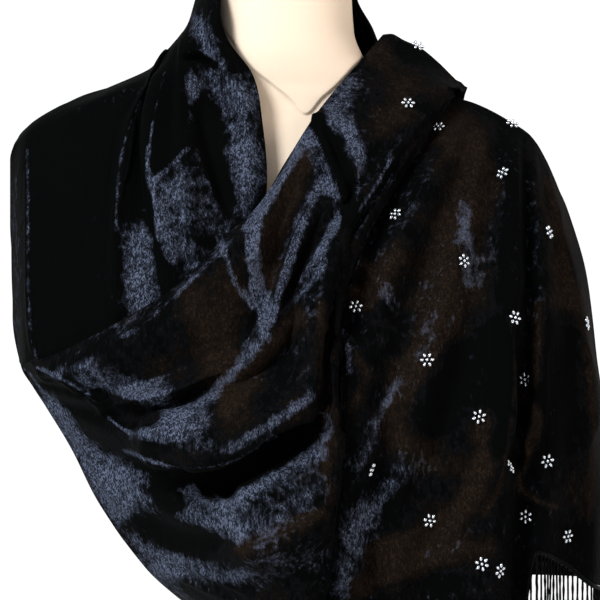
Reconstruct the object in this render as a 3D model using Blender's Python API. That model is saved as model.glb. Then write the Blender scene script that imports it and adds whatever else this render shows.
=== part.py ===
"""An evening stole wound round a limbless dress form.

The stole is one long scarf.  Its first end hangs over the left shoulder in front, it runs
behind the neck and across the back, round the right shoulder, across the chest in deep
folds and over the left shoulder again, where its second end hangs behind.  Each stretch
that shows is a cloth wall of its own.  The form is a bust carried by a pole on a round foot.

Lengths in the tables are millimetres from the neck's middle: x to the side, z up from the
surface it stands on, and the front faces -Y.  Meshes are made in metres, with the origin
under the middle of the whole part.
"""
import math

import bmesh
import bpy
import numpy as np
from mathutils import Matrix

MM = 0.001
CLOTH = 1.6                # wall of the velvet with its pile
SEAM = 0.6                 # parting between two stretches of cloth
FORM_CLEARANCE = 2.9       # outer face of the cloth above the form
LAYER_CLEARANCE = 4.6      # outer face of a stretch above the one it lies on
ROUNDNESS = 2.3            # exponent of every horizontal ring
BOX_MIDDLE = (18.6, -21.4)  # middle of the whole part, seen from above

FORM_TURN = math.radians(4.0)
FORM_SIDES = 40
FORM_RINGS = 26
CROWN = ((0.82, 3.5), (0.45, 6.0))   # rings that close the neck: share of its width, rise
NECK_CREASE_DEPTH = 5.0
NECK_CREASE_HEIGHT = 606.0
NECK_CREASE_DIP = 10.0
NECK_CREASE_RISE = 34.0
NECK_CREASE_SOFTNESS = 16.0
NECK_CREASE_END = 540.0
NECK_CREASE_FADE = 40.0
POLE_RADIUS = 15.0
POLE_SINK = 0.4             # parting between the pole and what it joins
BASE_RADIUS = 135.0
BASE_HEIGHT = 16.0
BASE_EDGE = 5.0
STAND_BACK = 4.0           # the stand's axis behind the neck's middle

# The dress form, a row for each ring.
FORM_RINGS_TABLE = {
    "columns": ("height", "half_width", "front", "back"),
    "rows": (
        (250, 70, 52, 50),
        (251, 88, 66, 62),
        (256, 100, 75, 70),
        (268, 108, 82, 75),
        (300, 119, 91, 81),
        (350, 134, 107, 87),
        (400, 144, 119, 90),
        (440, 152, 112, 92),
        (480, 164, 97, 92),
        (520, 182, 79, 88),
        (545, 193, 67, 80),
        (566, 195, 56, 70),
        (583, 185, 48, 60),
        (595, 159, 44, 55),
        (604, 128, 43, 53),
        (614, 98, 43, 53),
        (628, 74, 45, 54),
        (643, 61, 47, 54),
        (662, 54, 48, 53),
        (700, 52, 50, 53),
        (744, 53, 52, 54),
    ),
}

# The dressed figure, a row for each height: how far the cloth reaches to each side.
DRESSED_TABLE = {
    "columns": ("height", "right", "left", "front", "back"),
    "rows": (
        (160, 56, 258, 112, 101),
        (180, 62, 258, 115, 101),
        (209, 78, 258, 119, 101),
        (226, 103, 258, 119, 100),
        (254, 128, 258, 124, 101),
        (289, 152, 257, 129, 102),
        (329, 172, 255, 132, 103),
        (362, 192, 252, 133, 104),
        (379, 203, 250, 133, 104),
        (394, 212, 249, 132, 104),
        (435, 219, 245, 125, 104),
        (470, 219, 240, 112, 104),
        (509, 221, 229, 97, 103),
        (537, 221, 218, 85, 100),
        (560, 221, 208, 74, 96),
        (579, 214, 196, 64, 90),
        (594, 197, 174, 57, 85),
        (605, 177, 152, 54, 82),
        (612, 162, 130, 53, 79),
        (622, 130, 108, 52, 76),
        (635, 106, 90, 52, 70),
        (652, 91, 75, 53, 66),
        (666, 80, 69, 55, 63),
        (688, 73, 57, 57, 61),
        (702, 69, 54, 58, 61),
        (720, 62, 52, 58, 61),
    ),
}

# Stretch over the right shoulder: folds from the neck edge outwards, with their height
# above the dressed figure, and the place (x, z) where each section crosses them.  A section
# takes a share of that height.
RIGHT_SECTIONS = {
    "ridge": 0.0, "collar": 0.4, "shoulder": 0.9, "chest": 1.0,
    "bust": 0.9, "side": 0.5, "tuck": -0.2,
}
RIGHT_FOLDS = (
    ("neck_edge", 4, ((-61, 717), (-53, 684), (-46, 652), (-25, 621), (-18, 586), (-14, 535), (-22, 476))),
    ("edge_roll", 12, ((-65, 714), (-60, 679), (-53, 645), (-37, 609), (-30, 577), (-27, 531), (-35, 466))),
    ("hollow", 5, ((-69, 702), (-66, 675), (-62, 637), (-51, 599), (-46, 562), (-45, 519), (-53, 454))),
    ("crest", 13, ((-73, 688), (-73, 668), (-74, 632), (-73, 592), (-71, 554), (-67, 512), (-67, 444))),
    ("pleat", 17, ((-78, 671), (-82, 656), (-92, 633), (-100, 603), (-105, 563), (-99, 519), (-83, 436))),
    ("foot", 6, ((-83, 662), (-90, 651), (-100, 636), (-108, 604), (-112, 564), (-107, 519), (-92, 432))),
    ("rise", 9, ((-91, 652), (-97, 641), (-104, 628), (-115, 596), (-120, 562), (-119, 517), (-107, 424))),
    ("step", 14, ((-99, 644), (-103, 631), (-107, 616), (-121, 584), (-126, 547), (-129, 504), (-122, 419))),
    ("dip", 3, ((-107, 634), (-110, 624), (-113, 613), (-129, 585), (-134, 547), (-137, 505), (-133, 414))),
    ("flat", 3, ((-143, 618), (-144, 608), (-146, 596), (-151, 567), (-154, 527), (-156, 486), (-157, 400))),
    ("side", 2, ((-181, 602), (-181, 593), (-181, 582), (-183, 560), (-184, 525), (-183, 471), (-183, 394))),
    ("fold", 6, ((-201, 590), (-202, 583), (-203, 573), (-204, 554), (-202, 522), (-199, 456), (-200, 404))),
    ("edge", 0, ((-214, 579), (-218, 570), (-221, 560), (-221, 537), (-221, 509), (-220, 450), (-217, 412))),
)

# Stretch across the chest: folds from the upper rim down to the hem, with their height on
# the shoulder, where the stretch lies as one broad lobe, and below it.
SWATH_SECTIONS = {
    "ridge": 0.0, "shoulder": 0.8, "neckline": 0.9, "gather": 1.0,
    "middle": 1.0, "low": 1.0, "outline": 0.0,
}
LOBE_SHARE = (1.0, 1.0, 0.5, 0.0, 0.0, 0.0, 0.0)
SWATH_FOLDS = (
    ("under", 10, 12, ((82, 655), (31, 588), (-5, 520), (-36, 483), (-73, 444), (-157, 399), (-207, 393))),
    ("rim", 15, 21, ((77, 660), (23, 590), (-16, 524), (-47, 493), (-83, 456), (-164, 411), (-209, 398))),
    ("face", 22, 30, ((84, 661), (38, 590), (0, 517), (-30, 483), (-62, 441), (-149, 395), (-205, 389))),
    ("inner_valley", 24, 15, ((94, 656), (56, 590), (14, 513), (-7, 472), (-33, 422), (-128, 383), (-202, 384))),
    ("inner_ridge", 26, 27, ((107, 650), (77, 593), (25, 510), (4, 461), (-21, 411), (-114, 372), (-199, 378))),
    ("roll_foot", 27, 12, ((123, 637), (98, 597), (35, 507), (14, 453), (-14, 401), (-100, 362), (-195, 371))),
    ("second_ridge", 26, 31, ((136, 624), (113, 599), (42, 503), (22, 444), (-4, 390), (-92, 350), (-189, 361))),
    ("second_face", 26, 38, ((138, 623), (115, 598), (45, 497), (27, 433), (10, 372), (-76, 335), (-182, 348))),
    ("second_foot", 25, 13, ((140, 622), (117, 597), (46, 491), (31, 422), (24, 352), (-59, 319), (-173, 334))),
    ("third_ridge", 24, 33, ((141, 621), (119, 596), (47, 485), (34, 410), (30, 330), (-46, 301), (-161, 314))),
    ("bag", 23, 46, ((142, 620), (120, 596), (48, 479), (37, 397), (34, 303), (-30, 270), (-141, 277))),
    ("bag_crease", 22, 34, ((143, 619), (121, 595), (48, 473), (39, 385), (36, 277), (-18, 236), (-112, 240))),
    ("hem", 20, 30, ((145, 618), (123, 595), (48, 466), (41, 372), (34, 250), (4, 172), (-70, 196))),
)

# Front end over the left shoulder: folds from under the stretch across the chest outwards.
LEFT_SECTIONS = {"ridge": 0.0, "shoulder": 0.8, "chest": 1.0, "waist": 1.0, "fall": 1.0, "hem": 1.0}
LEFT_FOLDS = (
    ("tuck", 1, ((112, 618), (87, 560), (36, 478), (22, 389), (18, 301), (18, 188))),
    ("first_hollow", 3, ((126, 613), (104, 560), (62, 485), (42, 400), (32, 310), (28, 186))),
    ("first_fold", 11, ((138, 609), (121, 560), (84, 488), (60, 404), (46, 317), (38, 184))),
    ("second_hollow", 4, ((150, 605), (137, 559), (108, 487), (84, 404), (66, 318), (54, 184))),
    ("second_fold", 15, ((161, 600), (151, 555), (130, 484), (108, 404), (88, 320), (72, 186))),
    ("third_hollow", 6, ((170, 595), (162, 550), (146, 478), (132, 402), (112, 322), (94, 190))),
    ("third_fold", 20, ((177, 591), (170, 545), (160, 474), (152, 398), (138, 326), (118, 192))),
    ("hanging_edge", 27, ((183, 587), (178, 540), (174, 470), (170, 396), (162, 330), (150, 194))),
    ("deep_valley", 1, ((189, 583), (185, 537), (182, 467), (180, 394), (177, 328), (173, 202))),
    ("side_fold", 20, ((195, 578), (194, 529), (196, 459), (197, 392), (195, 328), (187, 262))),
    ("side_hollow", 3, ((200, 573), (203, 522), (212, 456), (215, 387), (216, 319), (212, 250))),
    ("outer_fold", 15, ((205, 566), (211, 516), (226, 448), (232, 383), (235, 310), (235, 232))),
    ("outline", 0, ((209, 558), (221, 530), (240, 470), (250, 379), (256, 300), (258, 218))),
)

# Swags across the back, from the collar to the hem: height of each line at the shoulders,
# how far it sags at the middle, and how far it stands out.
SWAGS = {
    "columns": ("height", "sag", "rise"),
    "rows": (
        (718, 0, 0),
        (680, 10, 8),
        (660, 20, 0),
        (640, 34, 17),
        (618, 48, 2),
        (590, 62, 25),
        (560, 74, 3),
        (525, 84, 28),
        (485, 90, 3),
        (442, 92, 29),
        (398, 86, 2),
        (350, 72, 24),
        (300, 50, 2),
        (255, 24, 14),
        (218, 4, 3),
    ),
}
BACK_TOP = (718, 692)      # top edge behind the neck, at its right and its left
BACK_HEM = (213, 222)      # lower edge, at its right and its left
PRESSED_FROM = 5.0         # the swags lie flat under the back end, from here to the left
PRESSED_FADE = 45.0
PRESSED_SHARE = 0.8

# Back end over the left shoulder: inner edge, outer edge and fold height at each section.
END_SECTIONS = {
    "columns": ("height", "inner", "outer", "rise"),
    "rows": (
        (600, 64, 146, 5),
        (578, 60, 149, 7),
        (540, 52, 156, 9),
        (470, 42, 168, 11),
        (390, 34, 178, 12),
        (300, 28, 186, 13),
        (205, 24, 190, 14),
    ),
}
END_PLEATS = 5.5
END_LIFT = 8.0
SHOULDER_DEPTH = 0.62      # row between the ridge and the first section: share of its depth
SHOULDER_HEIGHT = 0.75     # and of the way up to the ridge

RIM_ROWS = 7               # rows of the chest stretch that make its rolled rim
SEAM_FADE = 25.0           # no stretch is lifted at a seam, and all of the way this far off
CHART_CELL = 4.0
CHART_CORNER = (-240.0, 130.0)
CHART_SIZE = (136, 156)

FRINGE_DROP = 96.0
FRINGE_UNEVEN = 3.0
FRINGE_SWAY = 1.2
FRINGE_PITCH = 4.7
STRAND = 1.9
STRIP_HEIGHT = 3.0
HEM_GAP = 1.0

VELVET = (0.006, 0.007, 0.011, 1.0)
JERSEY = (0.86, 0.80, 0.70, 1.0)
PAINT = (0.80, 0.78, 0.74, 1.0)


def clear_scene():
    for thing in list(bpy.data.objects):
        bpy.data.objects.remove(thing, do_unlink=True)


def make_material(name, colour, roughness):
    material = bpy.data.materials.new(name)
    material.use_nodes = True
    shader = material.node_tree.nodes["Principled BSDF"]
    shader.inputs["Base Color"].default_value = colour
    shader.inputs["Roughness"].default_value = roughness
    shader.inputs["Metallic"].default_value = 0.0
    return material


def smooth_between(stations, values, at):
    """Monotone cubic through values (station first), read at the given places."""
    stations = np.asarray(stations, float)
    values = np.asarray(values, float)
    flat = values.reshape(len(stations), -1)
    step = np.diff(stations)[:, None]
    slope = np.diff(flat, axis=0) / step
    tangent = np.zeros_like(flat)
    product = slope[:-1] * slope[1:]
    total = slope[:-1] + slope[1:]
    safe = np.where(np.abs(total) < 1e-12, 1.0, total)
    tangent[1:-1] = np.where(product > 0.0, 2.0 * product / safe, 0.0)
    tangent[0] = slope[0]
    tangent[-1] = slope[-1]
    at = np.asarray(at, float)
    cell = np.clip(np.searchsorted(stations, at, side="right") - 1, 0, len(stations) - 2)
    width = step[cell]
    t = ((at - stations[cell])[:, None]) / width
    t = np.clip(t, 0.0, 1.0)
    low = (2 * t ** 3 - 3 * t ** 2 + 1) * flat[cell] + (t ** 3 - 2 * t ** 2 + t) * width * tangent[cell]
    high = (3 * t ** 2 - 2 * t ** 3) * flat[cell + 1] + (t ** 3 - t ** 2) * width * tangent[cell + 1]
    return (low + high).reshape((len(at),) + values.shape[1:])


def easy_curve(values, at):
    """Catmull-Rom through values that lie one step apart, read at the given places."""
    values = np.asarray(values, float)
    first = 2 * values[:1] - values[1:2]
    last = 2 * values[-1:] - values[-2:-1]
    points = np.concatenate([first, values, last])
    at = np.asarray(at, float)
    cell = np.clip(np.floor(at).astype(int), 0, len(values) - 2)
    t = (at - cell).reshape((-1,) + (1,) * (values.ndim - 1))
    before = points[cell]
    here = points[cell + 1]
    there = points[cell + 2]
    after = points[cell + 3]
    bend = 2 * before - 5 * here + 4 * there - after
    twist = 3 * here - before - 3 * there + after
    return here + 0.5 * t * (there - before + t * (bend + t * twist))


def table_curve(table, column, at):
    """Named column of a table, read along its first column."""
    rows = np.array(sorted(table["rows"]), float)
    number = table["columns"].index(column)
    return smooth_between(rows[:, 0], rows[:, number], np.ravel(at)).reshape(np.shape(at))


def ring_depth(x, half_width, depth):
    share = np.clip(np.abs(x) / half_width, 0.0, 1.0)
    return depth * (1.0 - share ** ROUNDNESS) ** (1.0 / ROUNDNESS)


def outline_at(z):
    """Widest reach of the cloth on both sides at a height."""
    return table_curve(DRESSED_TABLE, "right", z), table_curve(DRESSED_TABLE, "left", z)


def dressed_front(x, z):
    right, left = outline_at(z)
    return ring_depth(x, np.where(x < 0, right, left), table_curve(DRESSED_TABLE, "front", z))


def form_measure(points):
    """Ring measure of the turned form: 1 on its surface, more outside it."""
    x = points[..., 0] * math.cos(FORM_TURN) + points[..., 1] * math.sin(FORM_TURN)
    y = points[..., 1] * math.cos(FORM_TURN) - points[..., 0] * math.sin(FORM_TURN)
    z = np.clip(points[..., 2], FORM_RINGS_TABLE["rows"][0][0], FORM_RINGS_TABLE["rows"][-1][0])
    half_width = table_curve(FORM_RINGS_TABLE, "half_width", z)
    front = table_curve(FORM_RINGS_TABLE, "front", z)
    back = table_curve(FORM_RINGS_TABLE, "back", z)
    depth = np.where(y < 0, front, back)
    total = np.abs(x / half_width) ** ROUNDNESS + np.abs(y / depth) ** ROUNDNESS
    return np.maximum(total, 1e-9) ** (1.0 / ROUNDNESS)


def clear_of_form(points):
    """Moves points outwards until they stand clear of the form."""
    step = 0.5
    for _ in range(4):
        here = form_measure(points)
        slope = np.empty_like(points)
        for axis in range(3):
            shift = np.zeros(3)
            shift[axis] = step
            slope[..., axis] = (form_measure(points + shift) - form_measure(points - shift)) / (2 * step)
        steepness = np.linalg.norm(slope, axis=-1)
        steepness = np.maximum(steepness, 1e-6)
        lack = np.clip(FORM_CLEARANCE - (here - 1.0) / steepness, 0.0, 12.0)
        points = points + slope / steepness[..., None] * lack[..., None]
    return points


def pin_to_outline(grid):
    """Sets a row of points on the outline of the dressed figure, where the back begins."""
    right, left = outline_at(grid[..., 2])
    grid[..., 0] = np.where(grid[..., 0] < 0, -right, left)
    grid[..., 1] = -SEAM / 2
    return grid


def fold_sheet(folds, sections, across, along):
    """Grid of points through a table of folds: along the folds, then across them."""
    share = np.array(list(sections.values()))
    lines = []
    for _name, *rises, places in folds:
        rise = rises[-1] + (rises[0] - rises[-1]) * np.array(LOBE_SHARE)[: len(share)]
        places = np.array(places, float)
        x = places[:, 0]
        z = places[:, 1]
        base = dressed_front(x, z)
        reach = np.clip(base / table_curve(DRESSED_TABLE, "front", z), 0.0, 1.0)
        y = -(base + rise * share * reach)
        lines.append(np.stack([x, y, z], axis=-1))
    lines = np.array(lines)
    down = np.linspace(0.0, lines.shape[1] - 1.0, along + 1)
    lines = np.swapaxes(easy_curve(np.swapaxes(lines, 0, 1), down), 0, 1)
    stations = np.arange(len(folds), dtype=float)
    over = np.linspace(0.0, len(folds) - 1.0, across + 1)
    return smooth_between(stations, lines, over)


def finer(grid, times):
    rows = np.linspace(0, grid.shape[0] - 1, (grid.shape[0] - 1) * times + 1)
    columns = np.linspace(0, grid.shape[1] - 1, (grid.shape[1] - 1) * times + 1)
    r0 = np.clip(rows.astype(int), 0, grid.shape[0] - 2)
    c0 = np.clip(columns.astype(int), 0, grid.shape[1] - 2)
    tr = (rows - r0)[:, None, None]
    tc = (columns - c0)[None, :, None]
    top = grid[r0][:, c0] * (1 - tc) + grid[r0][:, c0 + 1] * tc
    low = grid[r0 + 1][:, c0] * (1 - tc) + grid[r0 + 1][:, c0 + 1] * tc
    return top * (1 - tr) + low * tr


def chart_cell(points):
    """Column and row of the chart that the points fall in."""
    column = ((points[..., 0] - CHART_CORNER[0]) / CHART_CELL).astype(int)
    row = ((points[..., 2] - CHART_CORNER[1]) / CHART_CELL).astype(int)
    return np.clip(column, 1, CHART_SIZE[0] - 2), np.clip(row, 1, CHART_SIZE[1] - 2)


def rest_over(upper, lowers, side):
    """How far each upper point must move along Y to lie over the lower sheets.

    The lower sheets are read into a chart of how far they stand out, cell by cell.
    """
    chart = np.full(CHART_SIZE, -np.inf)
    for lower in lowers:
        dense = finer(lower, 6).reshape(-1, 3)
        np.maximum.at(chart, chart_cell(dense), side * dense[:, 1])
    wide = chart.copy()
    for dx in (-1, 0, 1):
        for dz in (-1, 0, 1):
            wide = np.maximum(wide, np.roll(np.roll(chart, dx, 0), dz, 1))
    lack = wide[chart_cell(upper)] + LAYER_CLEARANCE - side * upper[..., 1]
    lack = np.maximum(lack, 0.0)
    soft = lack.copy()
    for _ in range(3):
        edge = np.pad(soft, 1, mode="edge")
        mean = (edge[:-2, 1:-1] + edge[2:, 1:-1] + edge[1:-1, :-2] + edge[1:-1, 2:]) / 4.0
        soft = np.maximum(lack, mean)
    return soft


def grid_normals(grid):
    along = np.gradient(grid, axis=0)
    across = np.gradient(grid, axis=1)
    normal = np.cross(along, across)
    length = np.linalg.norm(normal, axis=-1, keepdims=True)
    return normal / np.maximum(length, 1e-9)


def wall_object(name, grid, material, collection, flip=False):
    """A sheet of points made a wall one cloth thick, grown inwards from its outer face."""
    inward = grid_normals(grid) * (1.0 if flip else -1.0)
    on_seam = np.abs(grid[..., 1]) < SEAM
    inward[on_seam, 1] = 0.0
    inward /= np.maximum(np.linalg.norm(inward, axis=-1, keepdims=True), 1e-9)
    inner = grid + inward * CLOTH
    if grid[..., 1].mean() < 0:
        inner[..., 1] = np.minimum(inner[..., 1], -SEAM / 2)
    else:
        inner[..., 1] = np.maximum(inner[..., 1], SEAM / 2)
    count_a, count_b = grid.shape[:2]
    points = np.concatenate([grid.reshape(-1, 3), inner.reshape(-1, 3)]) * MM
    index = np.arange(count_a * count_b).reshape(count_a, count_b)
    offset = count_a * count_b
    outer_faces = np.stack([index[:-1, :-1], index[1:, :-1], index[1:, 1:], index[:-1, 1:]], -1)
    outer_faces = outer_faces.reshape(-1, 4)
    inner_faces = outer_faces[:, ::-1] + offset
    edge = np.concatenate([index[:-1, 0], index[-1, :-1], index[:0:-1, -1], index[0, :0:-1]])
    following = np.roll(edge, -1)
    rim_faces = np.stack([following, edge, edge + offset, following + offset], -1)
    faces = np.concatenate([outer_faces, inner_faces, rim_faces])
    if flip:
        faces = faces[:, ::-1]
    mesh = bpy.data.meshes.new(name)
    mesh.from_pydata(points.tolist(), [], faces.tolist())
    mesh.validate()
    mesh.shade_smooth()
    made = bpy.data.objects.new(name, mesh)
    made.data.materials.append(material)
    collection.objects.link(made)
    return made


def form_grid():
    """Rings of the bust, spaced evenly along its side."""
    rows = np.array(FORM_RINGS_TABLE["rows"], float)
    spread = np.cumsum(np.concatenate([[0.0], np.hypot(np.diff(rows[:, 0]), np.diff(rows[:, 1]))]))
    heights = smooth_between(spread / spread[-1], rows[:, 0], np.linspace(0.0, 1.0, FORM_RINGS + 1))
    angle = np.linspace(0.0, 2.0 * math.pi, FORM_SIDES, endpoint=False)
    half_width = table_curve(FORM_RINGS_TABLE, "half_width", heights)[:, None]
    front = table_curve(FORM_RINGS_TABLE, "front", heights)[:, None]
    back = table_curve(FORM_RINGS_TABLE, "back", heights)[:, None]
    power = 2.0 / ROUNDNESS
    side = np.sign(np.sin(angle)) * np.abs(np.sin(angle)) ** power
    deep = -np.sign(np.cos(angle)) * np.abs(np.cos(angle)) ** power
    x = half_width * side[None, :]
    y = np.where(deep[None, :] < 0, front, back) * deep[None, :]
    z = np.repeat(heights[:, None], FORM_SIDES, axis=1)
    crease = NECK_CREASE_HEIGHT - NECK_CREASE_DIP * np.cos(angle) + NECK_CREASE_RISE * np.abs(side)
    fall = np.clip((crease[None, :] - z) / NECK_CREASE_SOFTNESS, 0.0, 1.0)
    fall = fall * np.clip((z - NECK_CREASE_END) / NECK_CREASE_FADE, 0.0, 1.0)
    y = y + NECK_CREASE_DEPTH * fall * (deep[None, :] < 0) * (1.0 - np.abs(side))
    turned_x = x * math.cos(FORM_TURN) - y * math.sin(FORM_TURN)
    turned_y = y * math.cos(FORM_TURN) + x * math.sin(FORM_TURN)
    return np.stack([turned_x, turned_y, z], axis=-1)


def build_form(collection, material):
    """Closed rings from the flat underside of the bust to a softly domed neck."""
    grid = form_grid()
    top = grid[-1]
    middle = top.mean(axis=0)
    crown = []
    for share, rise in CROWN:
        ring = middle + (top - middle) * share
        ring[:, 2] = middle[2] + rise
        crown.append(ring)
    grid = np.concatenate([grid, np.array(crown)])
    rings = grid.shape[0]
    points = grid.reshape(-1, 3) * MM
    index = np.arange(rings * FORM_SIDES).reshape(rings, FORM_SIDES)
    following = np.roll(index, -1, axis=1)
    sides = np.stack([index[:-1], following[:-1], following[1:], index[1:]], -1).reshape(-1, 4)
    mesh = bpy.data.meshes.new("form_torso")
    faces = sides.tolist() + [index[0, ::-1].tolist()] + [index[-1].tolist()]
    mesh.from_pydata(points.tolist(), [], faces)
    shape = bmesh.new()
    shape.from_mesh(mesh)
    bmesh.ops.recalc_face_normals(shape, faces=shape.faces)
    shape.to_mesh(mesh)
    shape.free()
    mesh.shade_smooth()
    made = bpy.data.objects.new("form_torso", mesh)
    made.data.materials.append(material)
    collection.objects.link(made)
    return made


def keep_in_front(grid):
    """Keeps a front stretch on its own side of the seam along the outline."""
    grid[..., 1] = np.minimum(grid[..., 1], -SEAM / 2)
    return grid


def build_stand(collection, material):
    """Round foot with a bevelled edge and the pole that carries the form."""
    pole_height = FORM_RINGS_TABLE["rows"][0][0] - BASE_HEIGHT - 2 * POLE_SINK
    pieces = (
        ("stand_base", BASE_RADIUS, BASE_HEIGHT, BASE_HEIGHT / 2, 56),
        ("stand_pole", POLE_RADIUS, pole_height, BASE_HEIGHT + POLE_SINK + pole_height / 2, 24),
    )
    for name, radius, height, centre, sides in pieces:
        shape = bmesh.new()
        bmesh.ops.create_cone(
            shape, cap_ends=True, segments=sides, radius1=radius * MM, radius2=radius * MM, depth=height * MM
        )
        if name == "stand_base":
            upper = [edge for edge in shape.edges if all(corner.co.z > 0 for corner in edge.verts)]
            bmesh.ops.bevel(shape, geom=upper, offset=BASE_EDGE * MM, segments=3, affect="EDGES")
        bmesh.ops.translate(shape, verts=shape.verts, vec=(0.0, STAND_BACK * MM, centre * MM))
        mesh = bpy.data.meshes.new(name)
        shape.to_mesh(mesh)
        shape.free()
        mesh.shade_smooth()
        made = bpy.data.objects.new(name, mesh)
        made.data.materials.append(material)
        collection.objects.link(made)


def right_shoulder_sheet():
    grid = fold_sheet(RIGHT_FOLDS, RIGHT_SECTIONS, 30, 15)
    grid[:, 0] = pin_to_outline(grid[:, 0])
    grid[-1] = pin_to_outline(grid[-1])
    return keep_in_front(clear_of_form(grid))


def left_front_sheet():
    grid = fold_sheet(LEFT_FOLDS, LEFT_SECTIONS, 27, 15)
    grid[:, 0] = pin_to_outline(grid[:, 0])
    grid[-1] = pin_to_outline(grid[-1])
    return keep_in_front(clear_of_form(grid))


def swath_sheet(lowers):
    grid = fold_sheet(SWATH_FOLDS, SWATH_SECTIONS, 36, 21)
    grid[:, -1] = pin_to_outline(grid[:, -1])
    grid = keep_in_front(clear_of_form(grid))
    lack = rest_over(grid, lowers, -1.0)
    lack[:RIM_ROWS] = lack[:RIM_ROWS].max(axis=0)
    fade = np.clip(-grid[..., 1] / SEAM_FADE, 0.0, 1.0)
    grid[..., 1] -= lack * fade
    return grid


def even_drop(count):
    """Shares of the drop from collar to hem, spaced evenly along the outline."""
    share = np.linspace(0.0, 1.0, 400)
    height = BACK_TOP[0] + (BACK_HEM[0] - BACK_TOP[0]) * share
    right, _left = outline_at(height)
    length = np.concatenate([[0.0], np.cumsum(np.hypot(np.diff(height), np.diff(right)))])
    return np.interp(np.linspace(0.0, length[-1], count), length, share)


def back_sheet():
    """Back half of the dressed rings, with swags that sag between the shoulders."""
    across = np.sin(np.linspace(-1.0, 1.0, 25) * math.pi / 2)
    down = even_drop(27)
    right_height = BACK_TOP[0] + (BACK_HEM[0] - BACK_TOP[0]) * down
    left_height = BACK_TOP[1] + (BACK_HEM[1] - BACK_TOP[1]) * down
    side = (across + 1.0)[None, :] / 2.0
    z = right_height[:, None] * (1 - side) + left_height[:, None] * side
    reach = (1 - across ** 2)[None, :]
    rise = table_curve(SWAGS, "rise", z)
    z = z - table_curve(SWAGS, "sag", z) * reach
    right, left = outline_at(z)
    half_width = np.where(across[None, :] < 0, right, left)
    x = across[None, :] * half_width
    depth = ring_depth(x, half_width, table_curve(DRESSED_TABLE, "back", z))
    pressed = np.clip((x - PRESSED_FROM) / PRESSED_FADE, 0.0, 1.0)
    y = depth + rise * np.sqrt(reach) * (1.0 - PRESSED_SHARE * pressed)
    grid = clear_of_form(np.stack([x, y, z], axis=-1))
    grid[..., 1] = np.maximum(grid[..., 1], SEAM / 2)
    return grid


def back_end_sheet(lowers):
    """Pleated end that falls from the left shoulder down the back."""
    rows = np.array(END_SECTIONS["rows"], float)
    across = np.linspace(0.0, 1.0, 25)
    steps = np.linspace(0.0, len(rows) - 1.0, 19)
    section = easy_curve(rows, steps)
    z = np.repeat(section[:, 0:1], len(across), axis=1)
    x = section[:, 1:2] + (section[:, 2:3] - section[:, 1:2]) * across[None, :]
    left = table_curve(DRESSED_TABLE, "left", z)
    depth = ring_depth(x, left, table_curve(DRESSED_TABLE, "back", z))
    uneven = across + 0.02 * np.sin(5 * across)
    wave = 0.5 + 0.5 * np.cos(2 * math.pi * END_PLEATS * uneven[None, :])
    y = depth + END_LIFT + section[:, 3:4] * wave
    grid = np.stack([x, y, z], axis=-1)
    ridge = np.array([places[0] for *_sizes, places in SWATH_FOLDS[1:]], float)
    ridge_at = smooth_between(np.linspace(0, 1, len(ridge)), ridge, across)
    top = np.stack([ridge_at[:, 0], np.full(len(across), SEAM / 2), ridge_at[:, 1]], axis=-1)
    shoulder = 0.5 * (top + grid[0])
    shoulder[:, 1] = SHOULDER_DEPTH * grid[0, :, 1]
    shoulder[:, 2] = SHOULDER_HEIGHT * top[:, 2] + (1.0 - SHOULDER_HEIGHT) * grid[0, :, 2]
    grid = np.concatenate([top[None], shoulder[None], grid])
    grid = clear_of_form(grid)
    lack = rest_over(grid, lowers, 1.0)
    fade = np.clip(grid[..., 1] / SEAM_FADE, 0.0, 1.0)
    grid[..., 1] += lack * fade
    return grid


def build_fringe(name, edge, outward, collection, material):
    """A narrow strip along a hem, with a strand drawn out of every other face below it."""
    length = np.concatenate([[0.0], np.cumsum(np.linalg.norm(np.diff(edge[:, :2], axis=0), axis=1))])
    count = int(length[-1] / FRINGE_PITCH)
    stops = []
    for strand in range(count):
        middle = (strand + 0.5) * length[-1] / count
        stops.extend((middle - STRAND / 2, middle + STRAND / 2))
    stops = np.array([0.0] + stops + [length[-1]])
    line = np.stack([np.interp(stops, length, edge[:, axis]) for axis in range(3)], axis=-1)
    out = np.stack([np.interp(stops, length, outward[:, axis]) for axis in range(3)], axis=-1)
    out[:, 2] = 0.0
    out = out / np.linalg.norm(out, axis=1, keepdims=True)
    below = np.cross(out, np.gradient(line, axis=0))
    below = below / np.linalg.norm(below, axis=1, keepdims=True) * -np.sign(below[:, 2].mean())
    line = line - out * (CLOTH - STRAND) / 2 + below * HEM_GAP
    shape = bmesh.new()
    rings = []
    for place, away, down in zip(line, out, below):
        low = place + down * STRIP_HEIGHT
        corners = (place, place - away * STRAND, low - away * STRAND, low)
        rings.append([shape.verts.new(corner * MM) for corner in corners])
    roots = []
    for number in range(len(rings) - 1):
        here = rings[number]
        there = rings[number + 1]
        for corner in range(4):
            turn = (corner + 1) % 4
            face = shape.faces.new((here[corner], here[turn], there[turn], there[corner]))
            if corner == 2 and number % 2 == 1:
                roots.append(face)
    shape.faces.new(rings[0])
    shape.faces.new(rings[-1][::-1])
    bmesh.ops.recalc_face_normals(shape, faces=shape.faces)
    drawn = bmesh.ops.extrude_discrete_faces(shape, faces=roots)["faces"]
    for number, face in enumerate(drawn):
        drop = FRINGE_DROP + FRINGE_UNEVEN * math.sin(2.3 * number)
        for corner in face.verts:
            corner.co.x += FRINGE_SWAY * math.sin(1.7 * number) * MM
            corner.co.y += FRINGE_SWAY * math.cos(1.1 * number) * MM
            corner.co.z -= drop * MM
    mesh = bpy.data.meshes.new(name)
    shape.to_mesh(mesh)
    shape.free()
    made = bpy.data.objects.new(name, mesh)
    made.data.materials.append(material)
    collection.objects.link(made)
    return made


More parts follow.
